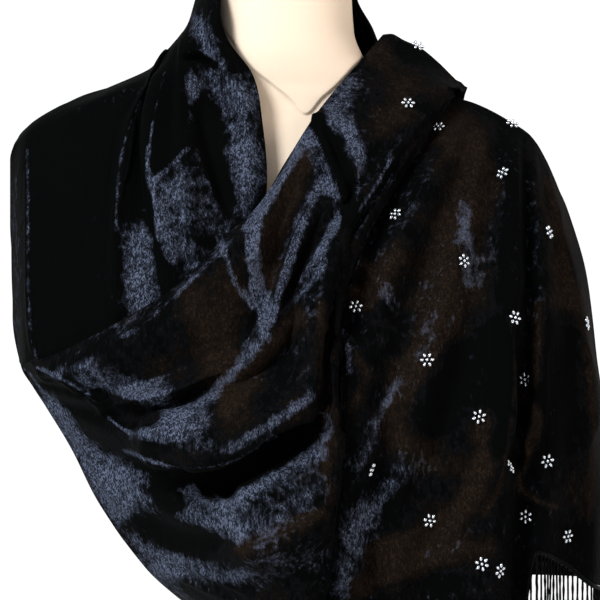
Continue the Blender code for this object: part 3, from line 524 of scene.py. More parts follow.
crossSwath = {
    "grid": (230, 200), "rimRows": 40, "hemRoll": 17.0,
    "sections": {"ridge": 0.0, "shoulder": 0.8, "neckline": 0.9, "gather": 1.0, "middle": 1.0, "low": 1.0,
                 "outline": 0.0},
    # Each fold rises by its first figure at the shoulder and by its second in the bag
    "shoulderShare": (1.0, 1.0, 0.5, 0.0, 0.0, 0.0, 0.0),
    "folds": (
        ("under", 10, 12, ((82, 655), (31, 588), (-5, 520), (-36, 483), (-73, 444), (-157, 399), (-207, 393))),
        ("rim", 15, 21, ((77, 660), (23, 590), (-16, 524), (-47, 493), (-83, 456), (-164, 411), (-209, 398))),
        ("face", 22, 30, ((84, 661), (38, 590), (0, 517), (-30, 483), (-62, 441), (-149, 395), (-205, 389))),
        ("innerValley", 24, 15, ((94, 656), (56, 590), (14, 513), (-7, 472),
            (-33, 422), (-128, 383), (-202, 384))),
        ("innerRidge", 26, 27, ((107, 650), (77, 593), (25, 510), (4, 461),
            (-21, 411), (-114, 372), (-199, 378))),
        ("rollFoot", 27, 12, ((123, 637), (98, 597), (35, 507), (14, 453),
            (-14, 401), (-100, 362), (-195, 371))),
        ("secondRidge", 26, 31, ((136, 624), (113, 599), (42, 503), (22, 444),
            (-4, 390), (-92, 350), (-189, 361))),
        ("secondFace", 26, 38, ((138, 623), (115, 598), (45, 497), (27, 433),
            (10, 372), (-76, 335), (-182, 348))),
        ("secondFoot", 25, 13, ((140, 622), (117, 597), (46, 491), (31, 422),
            (24, 352), (-59, 319), (-173, 334))),
        ("thirdRidge", 24, 33, ((141, 621), (119, 596), (47, 485), (34, 410),
            (30, 330), (-46, 301), (-161, 314))),
        ("bag", 23, 46, ((142, 620), (120, 596), (48, 479), (37, 397), (34, 303), (-30, 270), (-141, 277))),
        ("bagCrease", 22, 34, ((143, 619), (121, 595), (48, 473), (39, 385),
            (36, 277), (-18, 236), (-112, 240))),
        ("hem", 20, 30, ((145, 618), (123, 595), (48, 466), (41, 372), (34, 250), (4, 172), (-70, 196))),
    ),
    "creases": (
        (3, 6, ((318, 124), (268, 210), (226, 252), (178, 298), (134, 334), (66, 358))),
        (-8, 5, ((317, 116), (335, 152), (349, 190), (348, 220))),
        (7, 18, ((314, 112), (330, 158), (348, 220)), 1, 3, 0.1),
        (3, 10, ((352, 80), (356, 130), (353, 185), (347, 220))),
        (5, 8, ((308, 146), (285, 188), (262, 238), (252, 270))),
        (-4, 10, ((298, 170), (280, 225), (268, 280))),
        (6, 6, ((322, 172), (300, 235), (282, 290), (272, 328))),
        (-12, 6, ((327, 196), (306, 254), (284, 308), (272, 336))),
        (10, 26, ((346, 220), (322, 258), (298, 298), (262, 334),
            (238, 366), (196, 410), (158, 424), (134, 434)), 1, 4, 0.12),
        (-8, 9, ((268, 336), (236, 362), (200, 394), (164, 414))),
        (-11, 7, ((90, 396), (118, 406), (152, 420))),
        (5, 3, ((40, 368), (74, 386), (88, 394), (100, 408), (112, 421), (134, 437))),
        (11, 24, ((124, 443), (164, 457), (202, 460), (234, 452),
            (264, 433), (298, 416), (322, 404)), 1, 4, 0.15),
        (-17, 14, ((168, 475), (216, 480), (262, 460), (300, 438), (318, 422))),
        (11, 26, ((226, 500), (258, 486), (286, 466), (312, 440), (327, 418)), -1, 5, 0.15),
        (6, 5, ((316, 404), (330, 412), (330, 430))),
        (-5, 6, ((148, 447), (170, 453), (194, 464))),
        (-6, 13, ((150, 476), (172, 488), (196, 506))),
        (-8, 14, ((130, 518), (180, 540), (240, 548))),
        (6, 16, ((226, 562), (285, 536), (338, 512)), -1, 5),
        (3, 3, ((150, 562), (196, 584), (240, 604))),
        (2.5, 3, ((176, 560), (216, 578), (262, 600))),
        (2.5, 4, ((70, 430), (100, 470), (118, 500))),
        (2.5, 4, ((52, 408), (88, 446), (110, 490), (140, 530))),
        (2.5, 4, ((314, 268), (326, 276), (334, 270))),
        (-2.5, 4, ((312, 284), (322, 290), (332, 286))),
        (2.5, 4, ((308, 300), (320, 304), (332, 312))),
        (2.5, 4, ((300, 330), (314, 324), (330, 330))),
        (-4, 4, ((328, 330), (334, 348), (340, 372))),
        (2, 3, ((336, 260), (345, 272), (350, 290))),
        (-2, 3, ((328, 268), (338, 280), (342, 300))),
        (1.8, 3, ((326, 294), (336, 300), (346, 296))),
        (1.4, 2.6, ((462, 96), (440, 108), (418, 124), (397, 149), (372, 182), (348, 219), (329, 262)), 0, 3, 0),
    ),
    # Painted sheen and shade on this sheet: blue-grey strokes are painted sheen on rims and ridges, negative
    # strokes are painted shade in valleys and pockets, brown strokes are painted warm sheen, and the base adds a
    # painted highlight on folds facing the window.
    "sheenShadeBase": 0.04, "warmSheenBase": 0.2, "paintedFoldHighlight": 0.6,
    "sheenShade": (
        (0.85, 9, ((250, 248), (254, 280), (262, 304), (270, 326))),
        (0.75, 7, ((329, 188), (338, 206), (334, 230))),
        (0.9, 3.5, ((360, 150), (360, 172), (354, 206))),
        (0.6, 9, ((310, 132), (320, 156), (332, 190))),
        (0.8, 4, ((222, 244), (229, 268), (238, 288), (252, 306))),
        (-0.9, 5, ((239, 236), (243, 256), (246, 278))),
        (-0.55, 9, ((52, 362), (100, 346), (146, 330), (186, 300), (224, 266))),
        (0.7, 2.5, ((188, 476), (196, 486), (200, 500))),
        (0.7, 2.5, ((206, 478), (212, 492), (222, 500))),
        (0.6, 2.5, ((172, 474), (176, 486), (186, 494))),
        (0.75, 11, ((62, 374), (100, 384), (140, 396), (170, 408))),
        (0.45, 10, ((84, 362), (126, 376), (166, 392))),
        (-0.5, 20, ((120, 356), (170, 330), (220, 310))),
        (-0.5, 12, ((236, 326), (214, 366), (184, 386))),
        (-0.7, 10, ((326, 332), (290, 370), (250, 408), (222, 430))),
        (-1.2, 4, ((144, 445), (164, 451), (184, 457))),
        (0.9, 6, ((166, 473), (184, 481), (198, 495))),
        (0.8, 10, ((178, 512), (206, 522), (238, 536))),
        (0.6, 14, ((112, 468), (130, 486), (148, 506))),
        (0.9, 6, ((122, 336), (140, 332))),
        (0.45, 2.2, ((146, 322), (176, 294), (222, 248), (264, 206), (306, 132))),
        (0.6, 6, ((306, 138), (284, 176), (264, 206))),
        (0.95, 8, ((268, 188), (254, 222), (252, 254), (257, 288), (268, 320))),
        (0.9, 5, ((320, 182), (300, 235), (284, 285), (274, 320))),
        (0.9, 4.5, ((342, 218), (326, 240), (308, 268), (296, 288))),
        (0.7, 4, ((324, 266), (312, 282), (294, 300))),
        (0.8, 2.2, ((390, 160), (376, 186), (357, 214), (336, 246))),
        (1, 9, ((333, 118), (350, 134), (360, 158))),
        (0.55, 14, ((348, 84), (334, 112))),
        # Painted shade in the crevice beside the swath's edge.
        (-1.9, 7, ((317, 120), (333, 150), (345, 176), (349, 198), (347, 219))),
        (-1.1, 5, ((326, 200), (306, 254), (284, 308), (274, 330))),
        (0.8, 7, ((264, 338), (238, 368), (202, 402), (172, 418), (140, 434))),
        (0.5, 11, ((200, 424), (168, 432), (150, 442))),
        (0.9, 6, ((230, 449), (262, 431), (290, 412), (312, 396))),
        (-0.5, 8, ((236, 432), (264, 410), (292, 394))),
        (1.1, 2.2, ((126, 451), (164, 465), (202, 468), (236, 460), (276, 436))),
        (1.2, 2, ((40, 368), (74, 386), (88, 394), (108, 417), (130, 434))),
        (-1.3, 8, ((100, 400), (124, 410), (152, 421))),
        (-0.9, 12, ((66, 388), (84, 412), (110, 438))),
        (0.9, 1.6, ((26, 368), (40, 388), (60, 414), (74, 442))),
        (0.7, 1.6, ((20, 366), (32, 388), (52, 414))),
        (-1.4, 13, ((176, 478), (220, 480), (262, 462), (300, 438), (316, 424))),
        (0.9, 9, ((238, 498), (262, 482), (290, 466), (314, 446), (326, 428))),
        (0.9, 4, ((316, 412), (329, 418), (327, 436))),
        (0.45, 22, ((230, 526), (270, 512), (314, 490))),
        (0.4, 18, ((250, 570), (300, 556), (326, 562))),
        (0.9, 13, ((56, 404), (86, 444), (110, 490), (140, 530), (170, 562))),
        (0.5, 14, ((108, 458), (124, 486), (124, 506))),
        (0.45, 9, ((186, 488), (206, 500), (232, 508))),
        (0.6, 8, ((170, 556), (210, 562), (236, 546))),
        (-1.2, 8, ((160, 486), (166, 498), (176, 506))),
        (-1.1, 12, ((134, 522), (162, 536), (200, 547), (232, 550))),
        (0.7, 9, ((162, 568), (200, 574), (240, 576))),
        (0.5, 9, ((46, 402), (82, 460), (118, 520), (158, 574), (186, 598))),
        (-0.5, 16, ((222, 330), (180, 350), (150, 352))),
        # Painted shade: a thin dark line where the swath's edge lies over the first end.
        (-1, 4, ((346, 224), (334, 262), (330, 300), (335, 350), (341, 400), (340, 480), (334, 600))),
    ),
    "warmSheen": (
        (-1, 7, ((317, 120), (333, 150), (345, 176), (349, 198), (347, 219))),
        (-0.9, 9, ((130, 464), (170, 475), (210, 477), (256, 464), (312, 430))),
        (-0.6, 26, ((60, 400), (110, 470), (170, 530))),
        (0.85, 10, ((304, 158), (290, 196), (276, 236), (268, 280))),
        (0.7, 16, ((190, 300), (210, 330), (226, 366))),
        (0.6, 20, ((236, 296), (222, 350), (230, 384))),
        (0.9, 10, ((300, 318), (270, 350), (244, 384), (226, 406))),
        (0.6, 6, ((320, 300), (328, 390), (326, 440), (330, 500))),
        (0.8, 7, ((322, 512), (280, 530), (240, 548))),
        (0.5, 20, ((380, 56), (400, 90), (380, 130))),
        (0.5, 12, ((420, 70), (440, 90))),
        (-0.4, 12, ((404, 50), (430, 76))),
    ),
    "flowers": ((408, 104), (418, 46)),
}


# The stretch across the chest: from its rolled rim, row by row, down to its hem
def crossSwathSheet(lowers):
    grid = foldSheet(crossSwath)
    grid[:, -1] = pinToOutline(grid[:, -1])
    upperRows = softStep(70.0, 44.0, np.arange(len(grid)))[:, None]
    grid[:, -18:, 0] += upperRows * np.linspace(0.0, 3.0, 18)  # the rim's end is drawn in by 3 mm
    grid = inFront(clearOfForm(grid))
    lack = restOver(grid, lowers, -1.0, 30)
    rimRows = crossSwath["rimRows"]
    lack[:rimRows] = lack[:rimRows].max(axis=0)
    # A sheet lifts less near the outline
    inside = np.clip(grid[..., 0] + outlineAt(grid[..., 2])[0], 0.0, None)
    grid[..., 1] -= np.minimum(lack, 0.8 + 0.24 * inside)
    grid = inFront(clearOfForm(pressCreases(grid, crossSwath["creases"], -1.0), 2))
    grid[..., 1] -= np.minimum(restOver(grid, lowers, -1.0, 10), 0.4 + 0.3 * inside)
    return rollHem(grid, lowers[1], crossSwath["hemRoll"])


acrossBack = {
    "grid": (150, 180), "top": (718, 692), "hem": (213, 222), "crush": 1.6,
    "columns": ("height", "sag", "rise"),
    "rows": (
        (718, 0, 0), (680, 10, 8), (660, 20, 0), (640, 34, 17), (618, 48, 2), (590, 62, 25), (560, 74, 3),
        (525, 84, 28), (485, 90, 3), (442, 92, 29), (398, 86, 2), (350, 72, 24), (300, 50, 2), (255, 24, 14),
        (218, 4, 3),
    ),
    # Even painted sheen and painted warm sheen over the back, with a painted highlight on folds facing the
    # window.
    "sheenShadeBase": 0.34, "warmSheenBase": 0.3, "paintedFoldHighlight": 0.8,
}


# Shares of the drop that lie evenly along the outline
def evenDrop(count):
    share = np.linspace(0.0, 1.0, 400)
    top, hem = acrossBack["top"][0], acrossBack["hem"][0]
    height = top + (hem - top) * share
    right, _left = outlineAt(height)
    length = np.concatenate([[0.0], np.cumsum(np.hypot(np.diff(height), np.diff(right)))])
    return np.interp(np.linspace(0.0, length[-1], count), length, share)


# Back half of the dressed rings, with swags that sag between the shoulders.
def backSheet():
    columns, rows = acrossBack["grid"]
    across = np.sin(np.linspace(-1.0, 1.0, columns) * math.pi / 2)  # closer together at the sides
    down = evenDrop(rows)
    (topRight, topLeft), (hemRight, hemLeft) = acrossBack["top"], acrossBack["hem"]
    side = (across + 1.0)[None, :] / 2.0
    z = (topRight + (hemRight - topRight) * down)[:, None] * (1 - side)
    z = z + (topLeft + (hemLeft - topLeft) * down)[:, None] * side
    reach = (1 - across ** 2)[None, :]
    rise = tableCurve(acrossBack, "rise", z)
    z = z - tableCurve(acrossBack, "sag", z) * reach
    right, left = outlineAt(z)
    halfWidth = np.where(across[None, :] < 0, right, left)
    x = across[None, :] * halfWidth
    depth = ringDepth(x, halfWidth, tableCurve(dressed, "back", z))
    pressed = np.clip((x - 5.0) / 45.0, 0.0, 1.0)  # under the second end the swags lie flat
    y = depth + rise * np.sqrt(reach) * (1.0 - 0.8 * pressed)
    crush = np.sin(x / 23 + 2 * np.sin(z / 31)) * np.sin(z / 17 + x / 41) * (1 - pressed)
    y = y + acrossBack["crush"] * reach * crush
    grid = clearOfForm(np.stack([x, y, z], axis=-1))
    grid[..., 1] = np.maximum(grid[..., 1], seam / 2)
    return grid


backEnd = {
    "grid": (141, 120), "pleats": 5.5, "lift": 8.0, "overShoulder": 13,
    "columns": ("height", "inner", "outer", "rise"),
    "rows": (
        (600, 64, 146, 5), (578, 60, 149, 7), (540, 52, 156, 9), (470, 42, 168, 11), (390, 34, 178, 12),
        (300, 28, 186, 13), (205, 24, 190, 14),
    ),
    # Even painted sheen and painted warm sheen over the back end, with a painted highlight on folds facing the
    # window.
    "sheenShadeBase": 0.3, "warmSheenBase": 0.3, "paintedFoldHighlight": 0.6, "flowers": (7, 2),
}


# Pleated end that falls from the left shoulder down the back.
def backEndSheet(lowers):
    rows = np.array(backEnd["rows"], float)
    across = np.linspace(0.0, 1.0, backEnd["grid"][0])
    section = easyCurve(rows, np.linspace(0.0, len(rows) - 1.0, backEnd["grid"][1]))
    z = np.repeat(section[:, 0:1], len(across), axis=1)
    x = section[:, 1:2] + (section[:, 2:3] - section[:, 1:2]) * across[None, :]
    depth = ringDepth(x, tableCurve(dressed, "left", z), tableCurve(dressed, "back", z))
    uneven = across + 0.02 * np.sin(5 * across)
    wave = 0.5 + 0.5 * np.cos(2 * math.pi * backEnd["pleats"] * uneven[None, :])
    grid = np.stack([x, depth + backEnd["lift"] + section[:, 3:4] * wave, z], axis=-1)
    ridge = np.array([places[0] for *_sizes, places in crossSwath["folds"][1:]], float)
    ridgeAt = smoothBetween(np.linspace(0, 1, len(ridge)), ridge, across)
    top = np.stack([ridgeAt[:, 0], np.full(len(across), seam / 2), ridgeAt[:, 1]], axis=-1)
    shoulder = 0.5 * (top + grid[0])
    shoulder[:, 1] = 0.62 * grid[0, :, 1]
    shoulder[:, 2] = 0.75 * top[:, 2] + 0.25 * grid[0, :, 2]
    start = easyCurve(np.stack([top, shoulder, grid[0]]), np.linspace(0.0, 2.0, backEnd["overShoulder"]))
    grid = clearOfForm(np.concatenate([start[:-1], grid]))
    lack = restOver(grid, lowers, 1.0, 20)
    grid[..., 1] += lack * np.clip(grid[..., 1] / 25.0, 0.0, 1.0)
    return grid


# Making meshes

# A piece from points in mm, moved so that the middle of its box is at the origin.
def makeObject(name, points, faces, material, smooth=True):
    mesh = bpy.data.meshes.new(name)
    faces = faces if isinstance(faces, list) else faces.tolist()
    mesh.from_pydata(((points - boxMiddle) * mm).tolist(), [], faces)
    mesh.materials.append(material)
    if smooth:
        mesh.shade_smooth()
    made = bpy.data.objects.new(name, mesh)
    bpy.context.scene.collection.objects.link(made)
    return made


# One number for each point, for the material to read.
def setAttribute(made, name, values):
    layer = made.data.attributes.new(name, "FLOAT", "POINT")
    layer.data.foreach_set("value", np.ascontiguousarray(values, dtype=np.float32).ravel())


# Wall of cloth: the sheet, the same sheet moved in by its thickness, and the rim between.
def wallObject(name, grid, material, flip):
    inward = gridNormals(grid) * (1.0 if flip else -1.0)
    inward[np.abs(grid[..., 1]) < seam, 1] = 0.0
    inward /= np.maximum(np.linalg.norm(inward, axis=-1, keepdims=True), 1e-9)
    inner = grid + inward * cloth
    if grid[..., 1].mean() < 0:
        inner[..., 1] = np.minimum(inner[..., 1], -seam / 2)
    else:
        inner[..., 1] = np.maximum(inner[..., 1], seam / 2)
    countA, countB = grid.shape[:2]
    index = np.arange(countA * countB).reshape(countA, countB)
    offset = countA * countB
    outer = np.stack([index[:-1, :-1], index[1:, :-1], index[1:, 1:], index[:-1, 1:]], -1).reshape(-1, 4)
    edge = np.concatenate([index[:-1, 0], index[-1, :-1], index[:0:-1, -1], index[0, :0:-1]])
    following = np.roll(edge, -1)
    rim = np.stack([following, edge, edge + offset, following + offset], -1)
    faces = np.concatenate([outer, outer[:, ::-1] + offset, rim])
    if flip:
        faces = faces[:, ::-1]
    points = np.concatenate([grid.reshape(-1, 3), inner.reshape(-1, 3)])
    return makeObject(name, points, faces, material)


# Shaders

# A shader socket that takes part in ordinary arithmetic.
class Value:

    def __init__(self, tree, socket):
        self.tree = tree
        self.socket = socket

    # A Math node on this value and the others.
    def maths(self, operation, *others):
        node = self.tree.nodes.new("ShaderNodeMath")
        node.operation = operation
        for slot, item in zip(node.inputs, (self,) + others):
            if isinstance(item, Value):
                self.tree.links.new(item.socket, slot)
            else:
                slot.default_value = item
        return Value(self.tree, node.outputs[0])

    def __add__(self, other):
        return self.maths("ADD", other)

    __radd__ = __add__

    def __sub__(self, other):
        return self.maths("SUBTRACT", other)

    def __rsub__(self, other):
        return self.maths("MULTIPLY", -1.0) + other

    def __mul__(self, other):
        return self.maths("MULTIPLY", other)

    __rmul__ = __mul__

    def __truediv__(self, other):
        return self.maths("DIVIDE", other)

    def __rtruediv__(self, other):
        return self.maths("POWER", -1.0) * other

    def clamp(self):
        return self.maths("MAXIMUM", 0.0).maths("MINIMUM", 1.0)

    # Smooth step: 3 t^2 - 2 t^3 between low and high.
    def soft(self, low, high):
        t = ((self - low) / (high - low)).clamp()
        return t * t * (3.0 - 2.0 * t)

    def sine(self):
        return self.maths("SINE")


# One material: its nodes and its Principled shader.
class Shader:

    def __init__(self, name, **fixed):
        self.material = bpy.data.materials.new(name)
        self.material.use_nodes = True
        self.tree = self.material.node_tree
        self.surface = self.tree.nodes["Principled BSDF"]
        for key, value in fixed.items():
            self.surface.inputs[key.replace("_", " ")].default_value = value

    # Any other node, from its kind, its settings and the values or links of its sockets.
    def node(self, kind, output, settings=None, **inputs):
        node = self.tree.nodes.new(kind)
        for key, value in (settings or {}).items():
            setattr(node, key, value)
        for key, value in inputs.items():
            slot = node.inputs[key]
            if isinstance(value, Value):
                self.tree.links.new(value.socket, slot)
            else:
                slot.default_value = value
        return Value(self.tree, node.outputs[output])

    # Place on the piece, in metres.
    def place(self):
        return self.node("ShaderNodeTexCoord", "Object")

    # A number that the mesh holds for each point.
    def attribute(self, name):
        return self.node("ShaderNodeAttribute", "Fac", {"attribute_name": name})

    # The vector, each part multiplied on its own.
    def scaled(self, vector, x, y, z):
        node = self.tree.nodes.new("ShaderNodeVectorMath")
        node.operation = "MULTIPLY"
        self.tree.links.new(vector.socket, node.inputs[0])
        node.inputs[1].default_value = (x, y, z)
        return Value(self.tree, node.outputs[0])

    def noise(self, vector, scale, detail=2.0, distortion=0.0):
        return self.node("ShaderNodeTexNoise", "Fac", None, Vector=vector, Scale=scale, Detail=detail,
                         Distortion=distortion)

    # Colour from low to high, by share.
    def mixed(self, share, low, high):
        node = self.tree.nodes.new("ShaderNodeMix")
        node.data_type = "RGBA"
        self.tree.links.new(share.socket, node.inputs["Factor"])
        for slot, value in zip((node.inputs[6], node.inputs[7]), (low, high)):
            if isinstance(value, Value):
                self.tree.links.new(value.socket, slot)
            else:
                slot.default_value = value
        return Value(self.tree, node.outputs[2])

    # Links a value to a socket of the Principled shader.
    def send(self, name, value):
        self.tree.links.new(value.socket, self.surface.inputs[name])

    def bump(self, height, distance, strength=1.0):
        self.send("Normal", self.node("ShaderNodeBump", "Normal", None, Height=height, Distance=distance,
                                      Strength=strength))


# Black pile whose tips show blue-grey or brown painted sheen, put into the base colour where the nap faces the
# light.
# The colour is black + sheen colour * light * grain, where light grows with the painted sheen and shade and
# with the painted warm sheen, made ragged by noise, and grain is a noise as fine as the pile.
def velvetMaterial():
    shader = Shader("velvet", Roughness=0.8, Metallic=0.0, Sheen_Weight=0.004, Sheen_Roughness=0.4,
                    Sheen_Tint=(0.75, 0.83, 1.0, 1.0), Specular_IOR_Level=0.012)
    place = shader.place()
    patch = shader.noise(place, 24.0, 2.0, 0.6)
    crush = shader.noise(place, 60.0, 3.0, 0.9)
    ragged = shader.noise(shader.scaled(place, 1.0, 1.0, 0.4), 300.0, 3.0, 0.5)
    pile = shader.noise(shader.scaled(place, 1.0, 1.0, 0.4), 1350.0, 3.0)
    tuft = shader.noise(shader.scaled(place, 1.0, 1.0, 0.5), 480.0, 4.0)
    frayed = shader.noise(shader.scaled(place, 1.0, 1.0, 0.8), 130.0, 4.0, 0.8)
    sheenShade = shader.attribute("sheenShade") + 0.6 * (crush - 0.5) + 1.3 * (frayed - 0.5) + 1.1 * (ragged - 0.5)
    warmSheen = shader.attribute("warmSheen") + 1.2 * (patch - 0.5) + 0.9 * (crush - 0.5) + 0.9 * (ragged - 0.5)
    grain = 0.05 + 1.35 * pile.soft(0.38, 0.66) * (0.16 + 1.1 * tuft.soft(0.36, 0.66))
    light = sheenShade.soft(0.08, 1.15)
    brownSheen = warmSheen.soft(0.1, 1.0)
    hue = (brownSheen * 1.2 / (brownSheen + light * 1.6 + 0.05)).clamp()
    # Blue-grey and brown painted sheen: the colours of light on the pile tips, put into the base colour.
    sheenColour = shader.mixed(hue, (0.074, 0.088, 0.132, 1.0), (0.0132, 0.0083, 0.0056, 1.0))
    share = (light * grain + brownSheen * (0.26 + 0.6 * grain)).clamp()
    shader.send("Base Color", shader.mixed(share, (0.0008, 0.0009, 0.0009, 1.0), sheenColour))
    shader.bump(crush * 0.6 + ragged * 0.3 + tuft * 0.1, 0.003, 0.6)
    return shader.material


# Black twisted cord, dull.
def cordMaterial():
    return Shader("fringe_cord", Roughness=0.6, Base_Color=(0.0012, 0.0012, 0.0014, 1.0),
                  Specular_IOR_Level=0.03).material


# Silvered glass, bright.
def beadMaterial():
    return Shader("silver_bead", Roughness=0.12, Metallic=0.8, Base_Color=(0.62, 0.66, 0.72, 1.0),
                  Specular_IOR_Level=0.8).material


# Cream jersey: fine upright ribs, sin(2 pi x / pitch), as a shallow bump.
def jerseyMaterial():
    shader = Shader("jersey", Roughness=0.85, Base_Color=(0.69, 0.555, 0.43, 1.0), Sheen_Weight=0.1)
    around = shader.attribute("around")
    rib = (around * 6.283).sine()
    shader.bump(rib * 0.5, 0.0003, 0.12)
    return shader.material


# Satin cream paint of the pole and the foot.
def paintMaterial():
    return Shader("stand_paint", Roughness=0.38, Base_Color=(0.80, 0.78, 0.74, 1.0)).material


# Pieces

# Painted sheen and shade, and painted warm sheen, of every point: strokes in the camera's view, and a painted
# highlight on the folds, exp(-(1 - n . h) / 0.1), h halfway between the window and the front.
def paintSheenAndShade(made, grid, outward, piece):
    view = seen(grid)
    halfway = np.array([-0.45, -0.8, 0.4])
    facing = (gridNormals(grid) * outward) @ (halfway / np.linalg.norm(halfway))
    sheenShade = piece["sheenShadeBase"] + piece["paintedFoldHighlight"] * (np.exp(-(1.0 - facing) / 0.1) - 0.3)
    sheenShade = np.clip(sheenShade + strokes(view, piece.get("sheenShade", ())), -0.6, 1.1).reshape(-1)
    warmSheen = np.clip(piece["warmSheenBase"] + strokes(view, piece.get("warmSheen", ())), -0.3, 1.1).reshape(-1)
    setAttribute(made, "sheenShade", np.concatenate([sheenShade, sheenShade]))
    setAttribute(made, "warmSheen", np.concatenate([warmSheen, warmSheen]))


flower = {"petals": 6, "ring": 3.9, "bead": 1.15, "heart": 1.2, "oval": 0.45}


# Points and faces of a bead with six rings of eight.
def beadBall(radius):
    polar = np.linspace(0.12, math.pi - 0.12, 6)[:, None]
    turn = np.linspace(0.0, 2 * math.pi, 8, endpoint=False)[None, :]
    x = np.sin(polar) * np.cos(turn)
    y = np.sin(polar) * np.sin(turn)
    z = np.cos(polar) + 0.0 * turn
    points = np.stack([x, y, z], -1).reshape(-1, 3) * radius
    index = np.arange(48).reshape(6, 8)
    after = np.roll(index, -1, axis=1)
    faces = np.stack([index[:-1], index[1:], after[1:], after[:-1]], -1).reshape(-1, 4).tolist()
    return points, faces + [index[0].tolist(), index[-1, ::-1].tolist()]


# A heart bead and a ring of oval ones on each place, laid on the cloth.
def beadFlowers(name, grid, outward, places, material):
    normals = gridNormals(grid) * outward
    centres = []
    sizes = []
    rays = []
    for number, (row, column) in enumerate(places):
        point = grid[row, column]
        normal = normals[row, column]
        side = np.cross(normal, (0.0, 0.0, 1.0))
        side = side / max(np.linalg.norm(side), 1e-6)
        upward = np.cross(side, normal)
        centres.append(point + normal * 1.2)
        sizes.append(flower["heart"])
        rays.append((0.0, 0.0, 0.0))
        for petal in range(flower["petals"]):
            angle = 2 * math.pi * (petal + 0.37 * number) / flower["petals"]
            ray = side * math.cos(angle) + upward * math.sin(angle)
            centres.append(point + ray * flower["ring"] + normal * 0.9)
            sizes.append(flower["bead"])
            rays.append(ray)
    ball, faces = beadBall(1.0)
    centres, sizes, rays = np.array(centres), np.array(sizes), np.array(rays)
    oval = ball[None] + flower["oval"] * (rays @ ball.T)[..., None] * rays[:, None]
    points = (centres[:, None] + oval * sizes[:, None, None]).reshape(-1, 3)
    offsets = range(0, len(ball) * len(centres), len(ball))
    allFaces = [[corner + offset for corner in face] for offset in offsets for face in faces]
    return makeObject(name, points, allFaces, material)


# Grid places that the camera sees nearest to each spot
def nearestPlaces(grid, spots):
    view = seen(grid)
    found = []
    for spot in spots:
        away = ((view - np.array(spot)) ** 2).sum(axis=-1)
        found.append(np.unravel_index(away.argmin(), away.shape))
    return found


# Staggered places over a sheet, even in length, where the camera does not see.
def scattered(grid, rows, columns):
    found = []
    length = np.concatenate([[0.0], np.cumsum(np.linalg.norm(np.diff(grid[:, 70], axis=0), axis=1))])
    for row in range(rows):
        for column in range(columns):
            down = (row + 0.5 + 0.18 * math.sin(3.1 * column + row)) / rows
            over = (column + 0.5 + 0.25 * (row % 2) + 0.12 * math.cos(2.3 * row)) / (columns + 0.25)
            found.append((int(np.searchsorted(length, down * length[-1])), int(over * (grid.shape[1] - 1))))
    return found


fringe = {"drop": 96.0, "pitch": 4.7, "strand": 1.9, "header": 3.0, "gap": 0.6, "rings": 16, "sides": 6}


# A header strip under a hem and twisted cords that hang from it.
def fringeObject(name, edge, outward, material):
    strand = fringe["strand"]
    length = np.concatenate([[0.0], np.cumsum(np.linalg.norm(np.diff(edge[:, :2], axis=0), axis=1))])
    out = outward * np.array([1.0, 1.0, 0.0])
    out = out / np.linalg.norm(out, axis=1, keepdims=True)
    below = np.cross(out, np.gradient(edge, axis=0))
    below = below / np.linalg.norm(below, axis=1, keepdims=True) * -np.sign(below[:, 2].mean())
    line = edge - out * (cloth - strand) / 2 + below * fringe["gap"]
    low = line + below * fringe["header"]
    corners = np.stack([line, line - out * strand, low - out * strand, low], axis=1)
    count = len(edge)
    index = np.arange(count * 4).reshape(count, 4)
    after = np.roll(index, -1, axis=1)
    faces = np.stack([index[:-1], after[:-1], after[1:], index[1:]], -1).reshape(-1, 4)
    points = [corners.reshape(-1, 3)]
    allFaces = faces.tolist() + [index[0, ::-1].tolist(), index[-1].tolist()]

    strands = int(length[-1] / fringe["pitch"])
    at = (np.arange(strands) + 0.5) * length[-1] / strands
    root = np.stack([np.interp(at, length, low[:, axis]) for axis in range(3)], -1)
    away = np.stack([np.interp(at, length, out[:, axis]) for axis in range(3)], -1)
    root = root - away * strand / 2 + np.array([0.0, 0.0, 0.6])
    rings, sides = fringe["rings"], fringe["sides"]
    down = np.linspace(0.0, 1.0, rings)[None, :, None]
    turn = np.linspace(0.0, 2 * math.pi, sides, endpoint=False)[None, None, :]
    number = np.arange(strands)[:, None, None]
    reach = fringe["drop"] + 3.0 * np.sin(2.3 * number)
    twist = turn + 26.0 * down + number
    radius = strand / 2 * (0.92 + 0.2 * np.cos(2 * turn)) * (1 - 0.35 * softStep(0.93, 1.0, down))
    sway = down ** 1.6
    x = root[:, 0, None, None] + sway * 2.2 * np.sin(1.7 * number) + radius * np.cos(twist)
    x = x + 0.8 * np.sin(4.0 * down + number) * down
    y = root[:, 1, None, None] + sway * 1.6 * np.cos(1.1 * number) + radius * np.sin(twist)
    z = root[:, 2, None, None] - reach * down + 0.0 * turn
    points.append(np.stack([x, y, z], -1).reshape(-1, 3))
    tube = np.arange(strands * rings * sides).reshape(strands, rings, sides) + count * 4
    beside = np.roll(tube, -1, axis=2)
    skin = np.stack([tube[:, :-1], tube[:, 1:], beside[:, 1:], beside[:, :-1]], -1).reshape(-1, 4)
    allFaces += skin.tolist() + tube[:, 0].tolist() + tube[:, -1, ::-1].tolist()
    return makeObject(name, np.concatenate(points), allFaces, material)


# Closed rings from the bottom to the top, each end filled by a fan.
def ringsObject(name, grid, material):
    rings, sides = grid.shape[:2]
    index = np.arange(rings * sides).reshape(rings, sides)
    after = np.roll(index, -1, axis=1)
    skin = np.stack([index[:-1], after[:-1], after[1:], index[1:]], -1).reshape(-1, 4).tolist()
    bottom = rings * sides
    fans = [[bottom, b, a] for a, b in zip(index[0], after[0])]
    fans += [[bottom + 1, a, b] for a, b in zip(index[-1], after[-1])]
    points = np.concatenate([grid.reshape(-1, 3), grid[0].mean(axis=0)[None], grid[-1].mean(axis=0)[None]])
    return makeObject(name, points, skin + fans, material)


